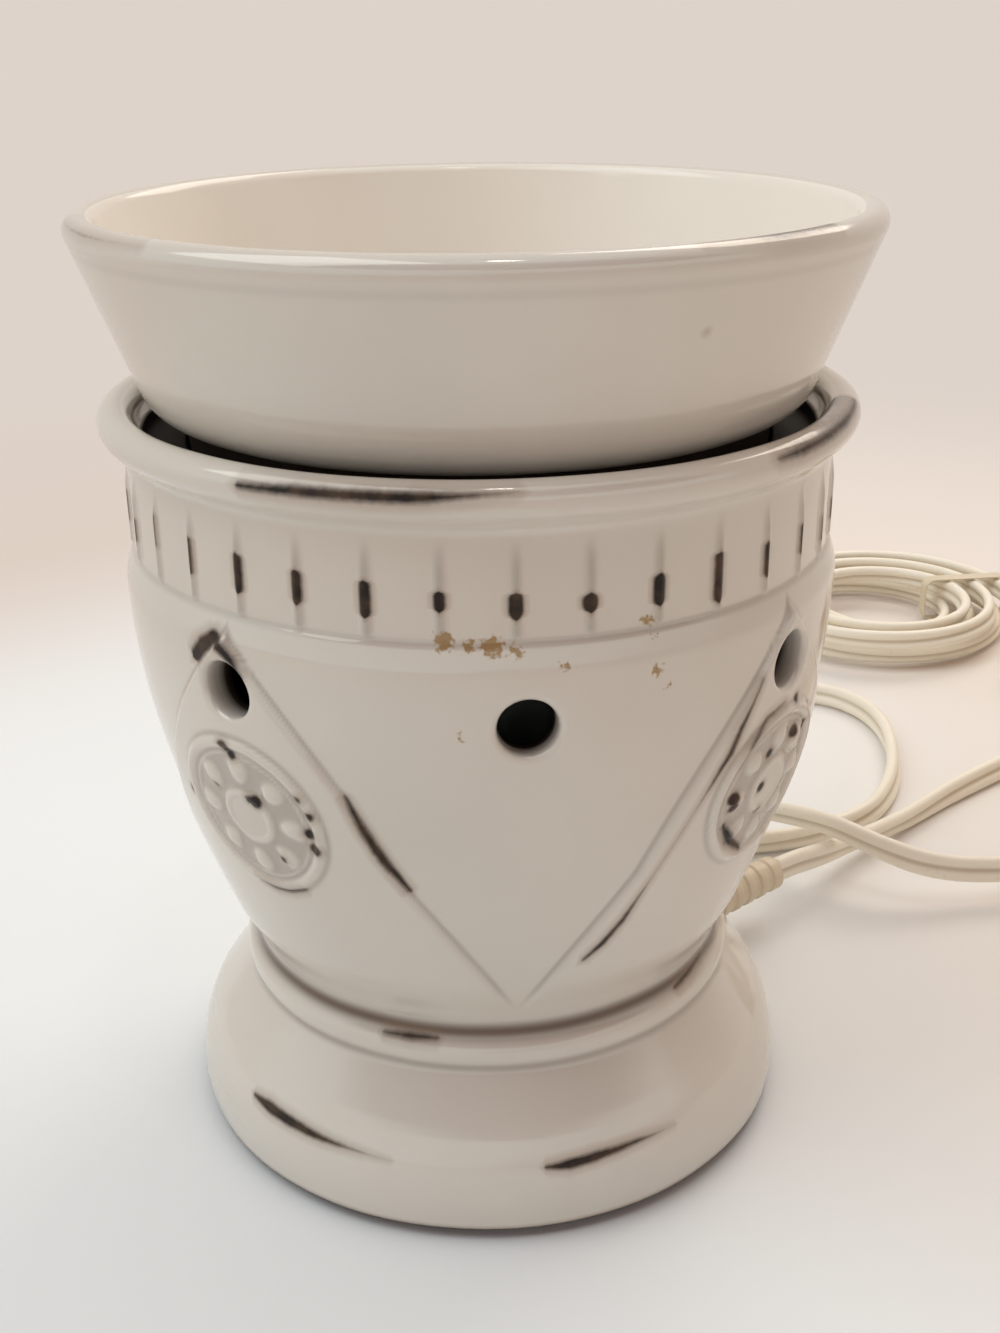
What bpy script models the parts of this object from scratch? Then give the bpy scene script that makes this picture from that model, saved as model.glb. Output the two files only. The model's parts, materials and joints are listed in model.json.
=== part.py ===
"""Ceramic wax warmer: a pedestal body with a lift-off dish, a bulb inside and a switched cord.

Metres, +Z up. The origin is on the floor under the middle of the pedestal, and -Y is the front.
Angles round the body are counted from the front towards +X.
"""

import math

import bmesh
import bpy
from mathutils import Matrix, Vector

# Clearances
SEAT_GAP = 0.0003
DISH_PLAY = 0.0005

# Ceramic body, with heights that add up from the floor
FOOT_LIFT = 0.0015
PEDESTAL_RADIUS = 0.0506
PEDESTAL_WALL_HEIGHT = 0.0119
PEDESTAL_SLOPE_HEIGHT = 0.0118
NECK_RADIUS = 0.0411
RING_HEIGHT = 0.0048
RING_PROUD = 0.0006
WAIST_HEIGHT = 0.0026
WAIST_RADIUS = 0.0399
BOWL_HEIGHT = 0.0634
BELLY_RADIUS = 0.0557
SHOULDER_HEIGHT = 0.0045
SHOULDER_DRAW_IN = 0.0007
BAND_HEIGHT = 0.0149
BAND_RADIUS = 0.0541
RIM_HEIGHT = 0.0081
RIM_RADIUS = 0.0578
MOUTH_RADIUS = 0.0513
CERAMIC_WALL = 0.0040
EDGE_ROUND = 0.0008

# Ornament on the body
PANEL_COUNT = 4
PANEL_RISE = 0.0009
PANEL_TIP_LIFT = 0.0020
PANEL_FOOT_LIFT = 0.0046
PANEL_FOOT_GAP = math.radians(4.8)
PANEL_SWELL = math.radians(3.0)
PANEL_SWELL_HEIGHT = 0.0360
MEDALLION_RADIUS = 0.01375
MEDALLION_GAP = 0.00265
MEDALLION_RING = 0.0022
MEDALLION_BOSS = 0.0052
MEDALLION_RISE = 0.0008
RELIEF_ROOT = 0.0012
VENT_RADIUS = 0.0042
VENT_DROP = 0.0074
PANEL_VENT_LIFT = 0.0017
RIB_COUNT = 35
RIB_WIDTH = 0.00155
RIB_PROUD = 0.0006
RIB_END_MARGIN = 0.0012
RIB_TURN = math.radians(-1.5)

# Dish and the ledge that carries it
LEDGE_DROP = 0.0075
LEDGE_RECESS = 0.0020
LEDGE_THICKNESS = 0.0040
DISH_FOOT_RADIUS = 0.0445
DISH_FOOT_WIDTH = 0.0035
DISH_FOOT_HEIGHT = 0.0037
DISH_TURN_HEIGHT = 0.0080
DISH_BASE_RADIUS = 0.0513
DISH_WALL_HEIGHT = 0.0240
DISH_RIM_RADIUS = 0.0597
DISH_WALL = 0.0036
DISH_BEAD = 0.0046
DISH_FLOOR = 0.0040

# Base of the pedestal
PLATE_SINK = 0.0016
PLATE_THICKNESS = 0.0010
PLATE_RADIUS = 0.0386
FLOOR_THICKNESS = 0.0026
FLOOR_OPENING_RADIUS = 0.0300
FOOT_COUNT = 4
FOOT_RADIUS = 0.0036
SCREW_RADIUS = 0.0015
SCREW_HEAD_RADIUS = 0.0032
SCREW_HEAD_HEIGHT = 0.0010
SCREW_INSET = 0.0050
SCREW_TIP = 0.0010

# Strap that carries the lampholder
STRAP_WIDTH = 0.0140
STRAP_THICKNESS = 0.0015
STRAP_RISE = 0.0060
STRAP_BRIDGE = 0.0280
STRAP_RAMP = 0.0040
STRAP_BEARING = 0.0060

# Lampholder
NIPPLE_RADIUS = 0.0049
NIPPLE_BORE_RADIUS = 0.0034
NIPPLE_GRIP = 0.0045
NIPPLE_TAIL = 0.0007
NUT_HEIGHT = 0.0030
NUT_WALL = 0.0020
SOCKET_HEIGHT = 0.0310
SOCKET_ROOT = 0.0080
SOCKET_WALL = 0.0037
SHELL_THICKNESS = 0.0008
CONTACT_HEIGHT = 0.0024
CONTACT_RADIUS = 0.0045
TERMINAL_RADIUS = 0.0013
TERMINAL_HEAD_RADIUS = 0.0026
TERMINAL_HEAD_HEIGHT = 0.0016
TERMINAL_DEPTH = 0.0024
TERMINAL_TURN = math.radians(38)
TERMINAL_LIFT = 0.0040

# Bulb
CAP_RADIUS = 0.0083
CAP_HEIGHT = 0.0180
CAP_THICKNESS = 0.0006
INSULATOR_HEIGHT = 0.0024
TIP_RADIUS = 0.0024
TIP_HEIGHT = 0.0012
GLASS_THICKNESS = 0.0008
GLASS_SINK = 0.0050
BULB_RADIUS = 0.0222
BULB_FLARE_HEIGHT = 0.0340
BULB_DOME_HEIGHT = 0.0120
STEM_RADIUS = 0.0034
STEM_HEIGHT = 0.0300
FILAMENT_RADIUS = 0.0004
FILAMENT_SPAN = 0.0048
FILAMENT_RISE = 0.0070

# Cord, its strain relief and its coil
CORD_RADIUS = 0.0028
CORD_TURN = math.radians(30)
LEAD_RADIUS = 0.00135
RELIEF_LENGTH = 0.0220
RELIEF_FLANGE_RADIUS = 0.0042
RELIEF_FLANGE_THICKNESS = 0.0018
RELIEF_ROOT_RADIUS = 0.0046
RELIEF_WALL = 0.0004
COIL_CENTRE = (0.1400, 0.1975)
COIL_RADIUS = 0.0395
COIL_PITCH = 0.0075
COIL_LAYER = 0.0061
COIL_TURNS = 5.25
COIL_SHIFT = 0.0060
COIL_LIFT = 0.0009
COIL_TAIL = 0.0200
LOOP_POINTS = 24
TIE_WIDTH = 0.0040
TIE_THICKNESS = 0.0004
TIE_SLACK = 0.0004

# Switch on the cord
SWITCH_PLACE = (0.1550, 0.0560)
SWITCH_TURN = math.radians(30.6)
SWITCH_LENGTH = 0.0560
SWITCH_WIDTH = 0.0220
SWITCH_SHELL_HEIGHT = 0.0083
SWITCH_WALL = 0.0018
SWITCH_CORNER = 0.0060
WHEEL_RADIUS = 0.0095
WHEEL_THICKNESS = 0.0050
WHEEL_SHOW = 0.0025
WHEEL_TEETH = 24
WHEEL_TOOTH_DEPTH = 0.0005
SPINDLE_RADIUS = 0.0020
SPINDLE_SINK = 0.0010
SWITCH_CONTACT_SIZE = (0.0090, 0.0020, 0.0034)
SWITCH_CONTACT_PLACE = (0.0150, -0.0062)

# Plug
PLUG_LENGTH = 0.0360
PLUG_WIDTH = 0.0250
PLUG_HEIGHT = 0.0190
PLUG_TAIL_RADIUS = 0.0042
BLADE_LENGTH = 0.0170
BLADE_THICKNESS = 0.0015
BLADE_SPACING = 0.0127
BLADE_WIDTHS = (0.0079, 0.0064)
BLADE_ROOT = 0.0060

# Facets round a piece
BODY_STEPS = 40
DISH_STEPS = 40
ROUND_STEPS = 20
SMALL_STEPS = 10

# Heights above the floor that follow from the sizes above
Z_SHOULDER = FOOT_LIFT + PEDESTAL_WALL_HEIGHT
Z_NECK = Z_SHOULDER + PEDESTAL_SLOPE_HEIGHT
Z_RING_TOP = Z_NECK + RING_HEIGHT
Z_WAIST = Z_RING_TOP + WAIST_HEIGHT
Z_BELLY = Z_WAIST + BOWL_HEIGHT
Z_BAND = Z_BELLY + SHOULDER_HEIGHT
Z_FLARE = Z_BAND + BAND_HEIGHT
Z_RIM = Z_FLARE + RIM_HEIGHT
Z_LEDGE = Z_RIM - LEDGE_DROP - LEDGE_RECESS
Z_DISH = Z_LEDGE + SEAT_GAP
Z_RECESS = FOOT_LIFT + PLATE_SINK
Z_FLOOR = Z_RECESS + FLOOR_THICKNESS
Z_PLATE = Z_RECESS - SEAT_GAP - PLATE_THICKNESS
Z_STRAP = Z_FLOOR + SEAT_GAP
Z_BRIDGE = Z_STRAP + STRAP_RISE
Z_SOCKET = Z_BRIDGE + STRAP_THICKNESS + SEAT_GAP
Z_SOCKET_FLOOR = Z_SOCKET + SOCKET_ROOT
Z_BULB = Z_SOCKET_FLOOR + SEAT_GAP + CONTACT_HEIGHT + SEAT_GAP
Z_CAP = Z_BULB + TIP_HEIGHT + INSULATOR_HEIGHT + SEAT_GAP
Z_CAP_TOP = Z_CAP + CAP_HEIGHT
Z_CORD = Z_FLOOR + SEAT_GAP + RELIEF_FLANGE_RADIUS
Z_COIL = COIL_LIFT + CORD_RADIUS

# Radii that follow from the sizes above
PLATE_RECESS_RADIUS = PLATE_RADIUS + SEAT_GAP
LEDGE_RECESS_RADIUS = DISH_FOOT_RADIUS + DISH_PLAY
LEDGE_OPENING_RADIUS = DISH_FOOT_RADIUS - DISH_FOOT_WIDTH - DISH_PLAY
SHELL_RADIUS = CAP_RADIUS + SEAT_GAP + SHELL_THICKNESS
SOCKET_BORE_RADIUS = SHELL_RADIUS + SEAT_GAP
SOCKET_RADIUS = SOCKET_BORE_RADIUS + SOCKET_WALL
RELIEF_NECK_RADIUS = CORD_RADIUS + RELIEF_WALL

# The cord's route from the strain relief to the switch, and from the switch to the coil
ROUTE_OUT = [
    (0.0775, 0.0465, 0.0080),
    (0.0890, 0.0568, 0.0050),
    (0.1035, 0.0676, 0.0032),
    (0.1190, 0.0794, 0.0029),
    (0.1360, 0.0904, 0.0029),
    (0.1490, 0.0980, 0.0029),
    (0.1604, 0.1049, 0.0029),
    (0.1706, 0.1077, 0.0031),
    (0.1806, 0.1050, 0.0040),
    (0.1879, 0.0977, 0.0054),
    (0.1906, 0.0877, 0.0070),
    (0.1878, 0.0778, 0.0081),
]
ROUTE_BACK = [
    (0.1165, 0.0361, 0.0074),
    (0.1050, 0.0363, 0.0077),
    (0.0955, 0.0372, 0.0096),
    (0.0875, 0.0405, 0.0120),
    (0.0788, 0.0482, 0.0139),
    (0.0705, 0.0585, 0.0122),
    (0.0640, 0.0690, 0.0088),
    (0.0588, 0.0805, 0.0054),
    (0.0563, 0.0930, 0.0034),
    (0.0575, 0.1060, 0.0029),
    (0.0630, 0.1190, 0.0029),
    (0.0730, 0.1310, 0.0029),
    (0.0860, 0.1395, 0.0029),
    (0.0985, 0.1425, 0.0029),
    (0.1085, 0.1385, 0.0029),
    (0.1143, 0.1290, 0.0029),
    (0.1156, 0.1170, 0.0029),
    (0.1130, 0.1020, 0.0029),
    (0.1079, 0.0880, 0.0029),
    (0.1000, 0.0757, 0.0029),
    (0.0910, 0.0684, 0.0029),
    (0.0800, 0.0640, 0.0029),
    (0.0680, 0.0620, 0.0029),
    (0.0540, 0.0630, 0.0029),
    (0.0410, 0.0680, 0.0029),
    (0.0312, 0.0770, 0.0029),
    (0.0262, 0.0900, 0.0029),
    (0.0263, 0.1040, 0.0029),
    (0.0290, 0.1185, 0.0029),
    (0.0336, 0.1325, 0.0029),
    (0.0396, 0.1460, 0.0029),
    (0.0468, 0.1590, 0.0029),
    (0.0550, 0.1715, 0.0029),
    (0.0640, 0.1835, 0.0029),
    (0.0738, 0.1950, 0.0029),
    (0.0838, 0.2060, 0.0029),
    (0.0938, 0.2165, 0.0029),
    (0.1038, 0.2267, 0.0030),
    (0.1154, 0.2345, 0.0034),
]
ROUTE_SPACING = 4.4 * CORD_RADIUS


def material(name, colour, roughness, metallic=0.0, transmission=0.0):
    made = bpy.data.materials.new(name)
    made.use_nodes = True
    made.diffuse_color = (*colour, 1.0)
    shader = made.node_tree.nodes["Principled BSDF"]
    shader.inputs["Base Color"].default_value = (*colour, 1.0)
    shader.inputs["Roughness"].default_value = roughness
    shader.inputs["Metallic"].default_value = metallic
    shader.inputs["Transmission Weight"].default_value = transmission
    return made


def add(name, data, finish, place=(0, 0, 0), turn=(0, 0, 0)):
    made = bpy.data.objects.new(name, data)
    made.location = place
    made.rotation_euler = turn
    data.materials.append(finish)
    bpy.context.collection.objects.link(made)
    return made


def mesh_from(name, shape):
    bmesh.ops.recalc_face_normals(shape, faces=shape.faces)
    mesh = bpy.data.meshes.new(name)
    shape.to_mesh(mesh)
    shape.free()
    mesh.shade_smooth()
    mesh.set_sharp_from_angle(angle=math.radians(35))
    return mesh


def ring_faces(shape, lower, upper):
    """Joins two rings of vertices, either of which may be a single one."""
    count = max(len(lower), len(upper))
    for i in range(count):
        corners = [
            lower[i % len(lower)],
            lower[(i + 1) % len(lower)],
            upper[(i + 1) % len(upper)],
            upper[i % len(upper)],
        ]
        shape.faces.new(list(dict.fromkeys(corners)))


def turned(name, profile, steps, start=0.0):
    """A turned mesh: the profile of (radius, height) points ends on the axis or closes on itself."""
    shape = bmesh.new()
    rings = []
    for radius, height in profile:
        if radius == 0:
            rings.append([shape.verts.new((0, 0, height))])
            continue
        angles = [start + math.tau * i / steps for i in range(steps)]
        rings.append([shape.verts.new((radius * math.cos(a), radius * math.sin(a), height)) for a in angles])
    pairs = list(zip(rings, rings[1:]))
    if profile[0][0] != 0:
        pairs.append((rings[-1], rings[0]))
    for lower, upper in pairs:
        ring_faces(shape, lower, upper)
    return mesh_from(name, shape)


def prism(name, outline, height):
    """An outline of (x, y) points stood up from z = 0 to the height."""
    shape = bmesh.new()
    low = [shape.verts.new((x, y, 0)) for x, y in outline]
    high = [shape.verts.new((x, y, height)) for x, y in outline]
    shape.faces.new(low)
    shape.faces.new(high)
    ring_faces(shape, low, high)
    return mesh_from(name, shape)


def box(name, size, centre):
    shape = bmesh.new()
    bmesh.ops.create_cube(shape, size=1, matrix=Matrix.Translation(centre) @ Matrix.Diagonal((*size, 1)))
    return mesh_from(name, shape)


def rounded_outline(length, width, corner, corner_steps=4):
    outline = []
    for quarter, (sx, sy) in enumerate(((1, 1), (-1, 1), (-1, -1), (1, -1))):
        for i in range(corner_steps + 1):
            angle = math.pi / 2 * (quarter + i / corner_steps)
            x = sx * (length / 2 - corner) + corner * math.cos(angle)
            y = sy * (width / 2 - corner) + corner * math.sin(angle)
            outline.append((x, y))
    return outline


def arc(centre, radii, start, end, steps):
    """Points of (radius, height) on part of an ellipse, between two angles in degrees."""
    angles = [math.radians(start + (end - start) * i / steps) for i in range(steps + 1)]
    return [(centre[0] + radii[0] * math.cos(a), centre[1] + radii[1] * math.sin(a)) for a in angles]


def helper(name, data):
    """A shape that cuts or joins another piece and isn't a piece itself."""
    made = bpy.data.objects.new(name, data)
    made.hide_render = True
    made.display_type = "WIRE"
    bpy.context.collection.objects.link(made)
    return made


def combine(piece, other, operation):
    step = piece.modifiers.new(other.name, "BOOLEAN")
    step.operation = operation
    step.solver = "EXACT"
    step.object = other


def cut(piece, mesh, place=(0, 0, 0), turn=(0, 0, 0)):
    other = helper(f"cut_{mesh.name}", mesh)
    other.location = place
    other.rotation_euler = turn
    combine(piece, other, "DIFFERENCE")
    return other


def joined(name, shapes):
    """One mesh that holds several separate closed shapes, each turned to its place."""
    whole = bmesh.new()
    for mesh, matrix in shapes:
        part = bmesh.new()
        part.from_mesh(mesh)
        part.transform(matrix)
        moved = bpy.data.meshes.new(name)
        part.to_mesh(moved)
        part.free()
        whole.from_mesh(moved)
        bpy.data.meshes.remove(moved)
    return mesh_from(name, whole)


def around(angle):
    return Matrix.Rotation(angle, 4, "Z")


def smooth_route(points):
    """Points at an even spacing on a smooth curve through the given ones, with both ends straight."""
    known = [Vector(p) for p in points]
    fine = []
    for before, start, end, after in zip(known, known[1:], known[2:], known[3:]):
        for i in range(20):
            t = i / 20
            pull = (end - before) * t + (2 * before - 5 * start + 4 * end - after) * t**2
            fine.append(start + 0.5 * (pull + (3 * start - before - 3 * end + after) * t**3))
    fine.append(known[-2])
    return [known[0], *evenly(fine, ROUTE_SPACING), known[-1]]


def route_length(points):
    return sum((Vector(b) - Vector(a)).length for a, b in zip(points, points[1:]))


def evenly(points, spacing):
    count = max(2, round(route_length(points) / spacing))
    step = route_length(points) / count
    spaced = [points[0]]
    walked = 0.0
    for a, b in zip(points, points[1:]):
        walked += (b - a).length
        while walked >= step * len(spaced) - 1e-9 and len(spaced) < count:
            spaced.append(b - (b - a).normalized() * (walked - step * len(spaced)))
    return [*spaced, points[-1]]


def tube(name, points, radius, finish, resolution=2, turn=(0, 0, 0)):
    curve = bpy.data.curves.new(name, "CURVE")
    curve.dimensions = "3D"
    curve.bevel_depth = radius
    curve.bevel_resolution = resolution
    curve.use_fill_caps = True
    spline = curve.splines.new("POLY")
    spline.points.add(len(points) - 1)
    for point, place in zip(spline.points, points):
        point.co = (*place, 1)
    return add(name, curve, finish, turn=turn)


def on_body(angle, radius, height):
    """A point at an angle from the front, towards +X."""
    return (radius * math.sin(angle), -radius * math.cos(angle), height)


def bowl_radius(height, belly, waist):
    """The bowl swells from its waist to its belly as a quarter of a sine wave."""
    return waist + (belly - waist) * math.sin(math.pi / 2 * (height - Z_WAIST) / BOWL_HEIGHT)


def surface_radius(height):
    """The outside radius of the plain bowl and its shoulder."""
    if height <= Z_BELLY:
        return bowl_radius(height, BELLY_RADIUS, WAIST_RADIUS)
    return BELLY_RADIUS - SHOULDER_DRAW_IN * (height - Z_BELLY) / SHOULDER_HEIGHT


def body_profile():
    """The section of the shell: up the outside, over the rim and down the inside."""
    ring = NECK_RADIUS + RING_PROUD
    outside = [
        (PEDESTAL_RADIUS - EDGE_ROUND, FOOT_LIFT),
        (PEDESTAL_RADIUS, FOOT_LIFT + EDGE_ROUND),
        (PEDESTAL_RADIUS, Z_SHOULDER - EDGE_ROUND),
        (PEDESTAL_RADIUS - EDGE_ROUND, Z_SHOULDER + EDGE_ROUND / 2),
        (NECK_RADIUS, Z_NECK),
        (ring, Z_NECK + RING_HEIGHT * 0.35),
        (ring, Z_NECK + RING_HEIGHT * 0.65),
        (NECK_RADIUS - RING_PROUD, Z_RING_TOP),
    ]
    outer_steps = 6
    for i in range(outer_steps + 1):
        height = Z_WAIST + BOWL_HEIGHT * i / outer_steps
        outside.append((surface_radius(height), height))
    lip_radius = (RIM_RADIUS + MOUTH_RADIUS) / 2
    lip_half = (RIM_RADIUS - MOUTH_RADIUS) / 2
    lip = (lip_radius, Z_RIM - lip_half)
    outside += [
        (surface_radius(Z_BAND - EDGE_ROUND), Z_BAND - EDGE_ROUND),
        (BAND_RADIUS, Z_BAND),
        (BAND_RADIUS, Z_FLARE),
        ((BAND_RADIUS + RIM_RADIUS) / 2, (Z_FLARE + lip[1]) / 2),
        *arc(lip, (lip_half, lip_half), 0, 180, 6),
    ]
    inside = [
        (MOUTH_RADIUS, Z_RIM - LEDGE_DROP),
        (LEDGE_RECESS_RADIUS, Z_RIM - LEDGE_DROP),
        (LEDGE_RECESS_RADIUS, Z_LEDGE),
        (LEDGE_OPENING_RADIUS, Z_LEDGE),
        (LEDGE_OPENING_RADIUS, Z_LEDGE - LEDGE_THICKNESS),
        (BAND_RADIUS - CERAMIC_WALL, Z_BAND),
    ]
    inner_steps = 3
    for i in range(inner_steps, -1, -1):
        height = Z_WAIST + BOWL_HEIGHT * i / inner_steps
        inside.append((surface_radius(height) - CERAMIC_WALL, height))
    inside += [
        (NECK_RADIUS - CERAMIC_WALL, Z_NECK),
        (PEDESTAL_RADIUS - CERAMIC_WALL, Z_SHOULDER),
        (PEDESTAL_RADIUS - CERAMIC_WALL, Z_FLOOR),
        (FLOOR_OPENING_RADIUS, Z_FLOOR),
        (FLOOR_OPENING_RADIUS, Z_RECESS),
        (PLATE_RECESS_RADIUS, Z_RECESS),
        (PLATE_RECESS_RADIUS, FOOT_LIFT),
    ]
    return outside + inside


def panel_mesh():
    """A raised panel with an upright point and swelling sides, wrapped on the bowl and rooted in its wall."""
    rows, columns = 6, 7
    foot = Z_WAIST + PANEL_FOOT_LIFT
    tip = Z_BELLY + PANEL_TIP_LIFT
    half_foot = math.pi / PANEL_COUNT - PANEL_FOOT_GAP / 2
    half_tip = half_foot * 0.01
    shape = bmesh.new()
    layers = []
    for rise in (-RELIEF_ROOT, PANEL_RISE):
        grid = []
        for i in range(rows + 1):
            share = i / rows
            height = foot + (tip - foot) * share
            swell = PANEL_SWELL * math.sin(math.pi * min(1, (tip - height) / PANEL_SWELL_HEIGHT))
            half = half_foot + (half_tip - half_foot) * share + swell
            radius = surface_radius(height) + rise
            turns = [half * (2 * j / columns - 1) for j in range(columns + 1)]
            grid.append([shape.verts.new(on_body(angle, radius, height)) for angle in turns])
        layers.append(grid)
    for grid in layers:
        for low, high in zip(grid, grid[1:]):
            for j in range(columns):
                shape.faces.new((low[j], low[j + 1], high[j + 1], high[j]))
    edges = []
    for grid in layers:
        right = [row[-1] for row in grid[1:]]
        left = [row[0] for row in grid[1:-1]]
        edges.append([*grid[0], *right, *reversed(grid[-1][:-1]), *reversed(left)])
    ring_faces(shape, *edges)
    return mesh_from("panel", shape)


def medallion_mesh():
    """A round ornament with a raised rim and boss, wrapped on the bowl."""
    vent_middle = Z_BELLY - VENT_DROP + PANEL_VENT_LIFT
    middle = vent_middle - VENT_RADIUS - MEDALLION_GAP - MEDALLION_RADIUS
    slope = math.atan2(surface_radius(middle + MEDALLION_RING) - surface_radius(middle), MEDALLION_RING)
    ground = PANEL_RISE + SEAT_GAP
    top = PANEL_RISE + MEDALLION_RISE
    inner = MEDALLION_RADIUS - MEDALLION_RING
    outline = [
        (0, top),
        (MEDALLION_BOSS - MEDALLION_RISE, top),
        (MEDALLION_BOSS, ground),
        (inner - MEDALLION_RISE / 2, ground),
        (inner, top),
        (MEDALLION_RADIUS - MEDALLION_RISE / 2, top),
        (MEDALLION_RADIUS, PANEL_RISE - SEAT_GAP),
        (MEDALLION_RADIUS, -RELIEF_ROOT),
        (0, -RELIEF_ROOT),
    ]
    shape = bmesh.new()
    rings = []
    for radius, rise in outline:
        ring = []
        for i in range(ROUND_STEPS if radius else 1):
            angle = math.tau * i / ROUND_STEPS
            height = middle + radius * math.sin(angle) * math.cos(slope)
            reach = surface_radius(height)
            turn = radius * math.cos(angle) / reach
            ring.append(shape.verts.new(on_body(turn, reach + rise, height)))
        rings.append(ring)
    for lower, upper in zip(rings, rings[1:]):
        ring_faces(shape, lower, upper)
    return mesh_from("medallion", shape)


def rib_mesh():
    """One upright rib on the band at the front, with its outer edges taken off."""
    bottom = Z_BAND + RIB_END_MARGIN
    height = BAND_HEIGHT - 2 * RIB_END_MARGIN
    half = RIB_WIDTH / 2
    root = BAND_RADIUS - RELIEF_ROOT
    top = BAND_RADIUS + RIB_PROUD
    crest = half - RIB_PROUD / 4
    outline = [(-half, -root), (-crest, -top), (crest, -top), (half, -root)]
    mesh = prism("rib", outline, height)
    mesh.transform(Matrix.Translation((0, 0, bottom)))
    return mesh


def make_body(glaze):
    shell = turned("warmer_body", body_profile(), BODY_STEPS, math.pi / BODY_STEPS)
    body = add("warmer_body", shell, glaze)
    panel_step = math.tau / PANEL_COUNT
    panel_turns = [around(panel_step * (i + 0.5)) for i in range(PANEL_COUNT)]
    rib_turns = [around(RIB_TURN + math.tau * i / RIB_COUNT) for i in range(RIB_COUNT)]
    for name, mesh, turns in (
        ("panels", panel_mesh(), panel_turns),
        ("medallions", medallion_mesh(), panel_turns),
        ("ribs", rib_mesh(), rib_turns),
    ):
        combine(body, helper(f"join_{name}", joined(name, [(mesh, turn) for turn in turns])), "UNION")
    drill_from = BELLY_RADIUS - 2 * CERAMIC_WALL
    drill_to = BELLY_RADIUS + CERAMIC_WALL
    vent = turned("vent", rod_profile(VENT_RADIUS, drill_from, drill_to), 14)
    level = Matrix.Rotation(math.pi / 2, 4, "X")
    vent_turns = []
    for i in range(2 * PANEL_COUNT):
        lift = PANEL_VENT_LIFT if i % 2 else 0
        up = Matrix.Translation((0, 0, Z_BELLY - VENT_DROP + lift))
        vent_turns.append(around(panel_step / 2 * i) @ up @ level)
    cut(body, joined("vents", [(vent, m) for m in vent_turns]))
    hole_radius = RELIEF_NECK_RADIUS + SEAT_GAP
    drill = rod_profile(hole_radius, PEDESTAL_RADIUS - 2 * CERAMIC_WALL, PEDESTAL_RADIUS + CERAMIC_WALL)
    cut(body, turned("cord_hole", drill, 16), (0, 0, Z_CORD), (0, math.pi / 2, CORD_TURN))


def rod_profile(radius, bottom, top):
    return [(0, bottom), (radius, bottom), (radius, top), (0, top)]


def tube_profile(inner, outer, bottom, top):
    return [(inner, bottom), (outer, bottom), (outer, top), (inner, top)]


def dish_profile():
    """The section of the dish: out under the foot, up the wall, over the bead and down inside."""
    foot_top = Z_DISH + DISH_FOOT_HEIGHT
    base = foot_top + DISH_TURN_HEIGHT
    top = base + DISH_WALL_HEIGHT
    foot_inner = DISH_FOOT_RADIUS - DISH_FOOT_WIDTH
    bead = (DISH_RIM_RADIUS - DISH_BEAD / 2, top - DISH_BEAD / 2)
    bead_half = DISH_BEAD / 2
    floor = foot_top + DISH_FLOOR
    turn_radii = (DISH_BASE_RADIUS - DISH_FOOT_RADIUS, DISH_TURN_HEIGHT)
    inner_base = DISH_BASE_RADIUS - DISH_WALL
    inner_turn = (inner_base - LEDGE_OPENING_RADIUS, base - floor)
    return [
        (0, foot_top),
        (foot_inner, foot_top),
        (foot_inner, Z_DISH),
        (DISH_FOOT_RADIUS, Z_DISH),
        *arc((DISH_FOOT_RADIUS, base), turn_radii, -90, 0, 3),
        (DISH_RIM_RADIUS - bead_half * 0.6, bead[1] - bead_half),
        *arc(bead, (bead_half, bead_half), -30, 200, 6),
        (inner_base, base),
        *arc((inner_base - inner_turn[0], base), inner_turn, -30, -90, 2),
        (0, floor),
    ]


def make_dish(glaze):
    add("wax_dish", turned("wax_dish", dish_profile(), DISH_STEPS), glaze)


def make_base(steel, rubber):
    disc = turned("base_plate", rod_profile(PLATE_RADIUS, 0, PLATE_THICKNESS), BODY_STEPS)
    plate = add("base_plate", disc, steel, (0, 0, Z_PLATE))
    half_reach = FLOOR_OPENING_RADIUS + STRAP_BEARING
    strap = add("clamp_strap", strap_mesh(half_reach), steel, (0, 0, Z_STRAP), (0, 0, CORD_TURN))
    screw_place = FLOOR_OPENING_RADIUS - SCREW_INSET
    hole = SCREW_RADIUS + SEAT_GAP
    across = Vector((-math.sin(CORD_TURN), math.cos(CORD_TURN), 0))
    head_bottom = Z_PLATE - SEAT_GAP - SCREW_HEAD_HEIGHT
    tip = Z_STRAP + STRAP_THICKNESS + SCREW_TIP
    profile = [
        (0, head_bottom),
        (SCREW_HEAD_RADIUS, head_bottom),
        (SCREW_HEAD_RADIUS, head_bottom + SCREW_HEAD_HEIGHT),
        (SCREW_RADIUS, head_bottom + SCREW_HEAD_HEIGHT),
        (SCREW_RADIUS, tip),
        (0, tip),
    ]
    for number, side in enumerate((1, -1), start=1):
        place = across * side * screw_place
        drill = turned(f"screw_hole_{number}", rod_profile(hole, 0, 2 * tip), SMALL_STEPS)
        combine(strap, cut(plate, drill, place), "DIFFERENCE")
        add(f"base_screw_{number}", turned("base_screw", profile, SMALL_STEPS), steel, place)
    cut(strap, turned("nipple_hole", rod_profile(NIPPLE_RADIUS + SEAT_GAP, 0, Z_SOCKET), ROUND_STEPS))
    pad = FOOT_LIFT - SEAT_GAP
    foot_place = (PLATE_RECESS_RADIUS + PEDESTAL_RADIUS) / 2
    for number in range(1, FOOT_COUNT + 1):
        place = on_body(math.tau * (number - 0.5) / FOOT_COUNT, foot_place, 0)
        foot = [(0, 0), (FOOT_RADIUS, 0), (FOOT_RADIUS, pad / 2), (FOOT_RADIUS - pad / 2, pad), (0, pad)]
        add(f"foot_{number}", turned("foot", foot, SMALL_STEPS), rubber, place)


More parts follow.
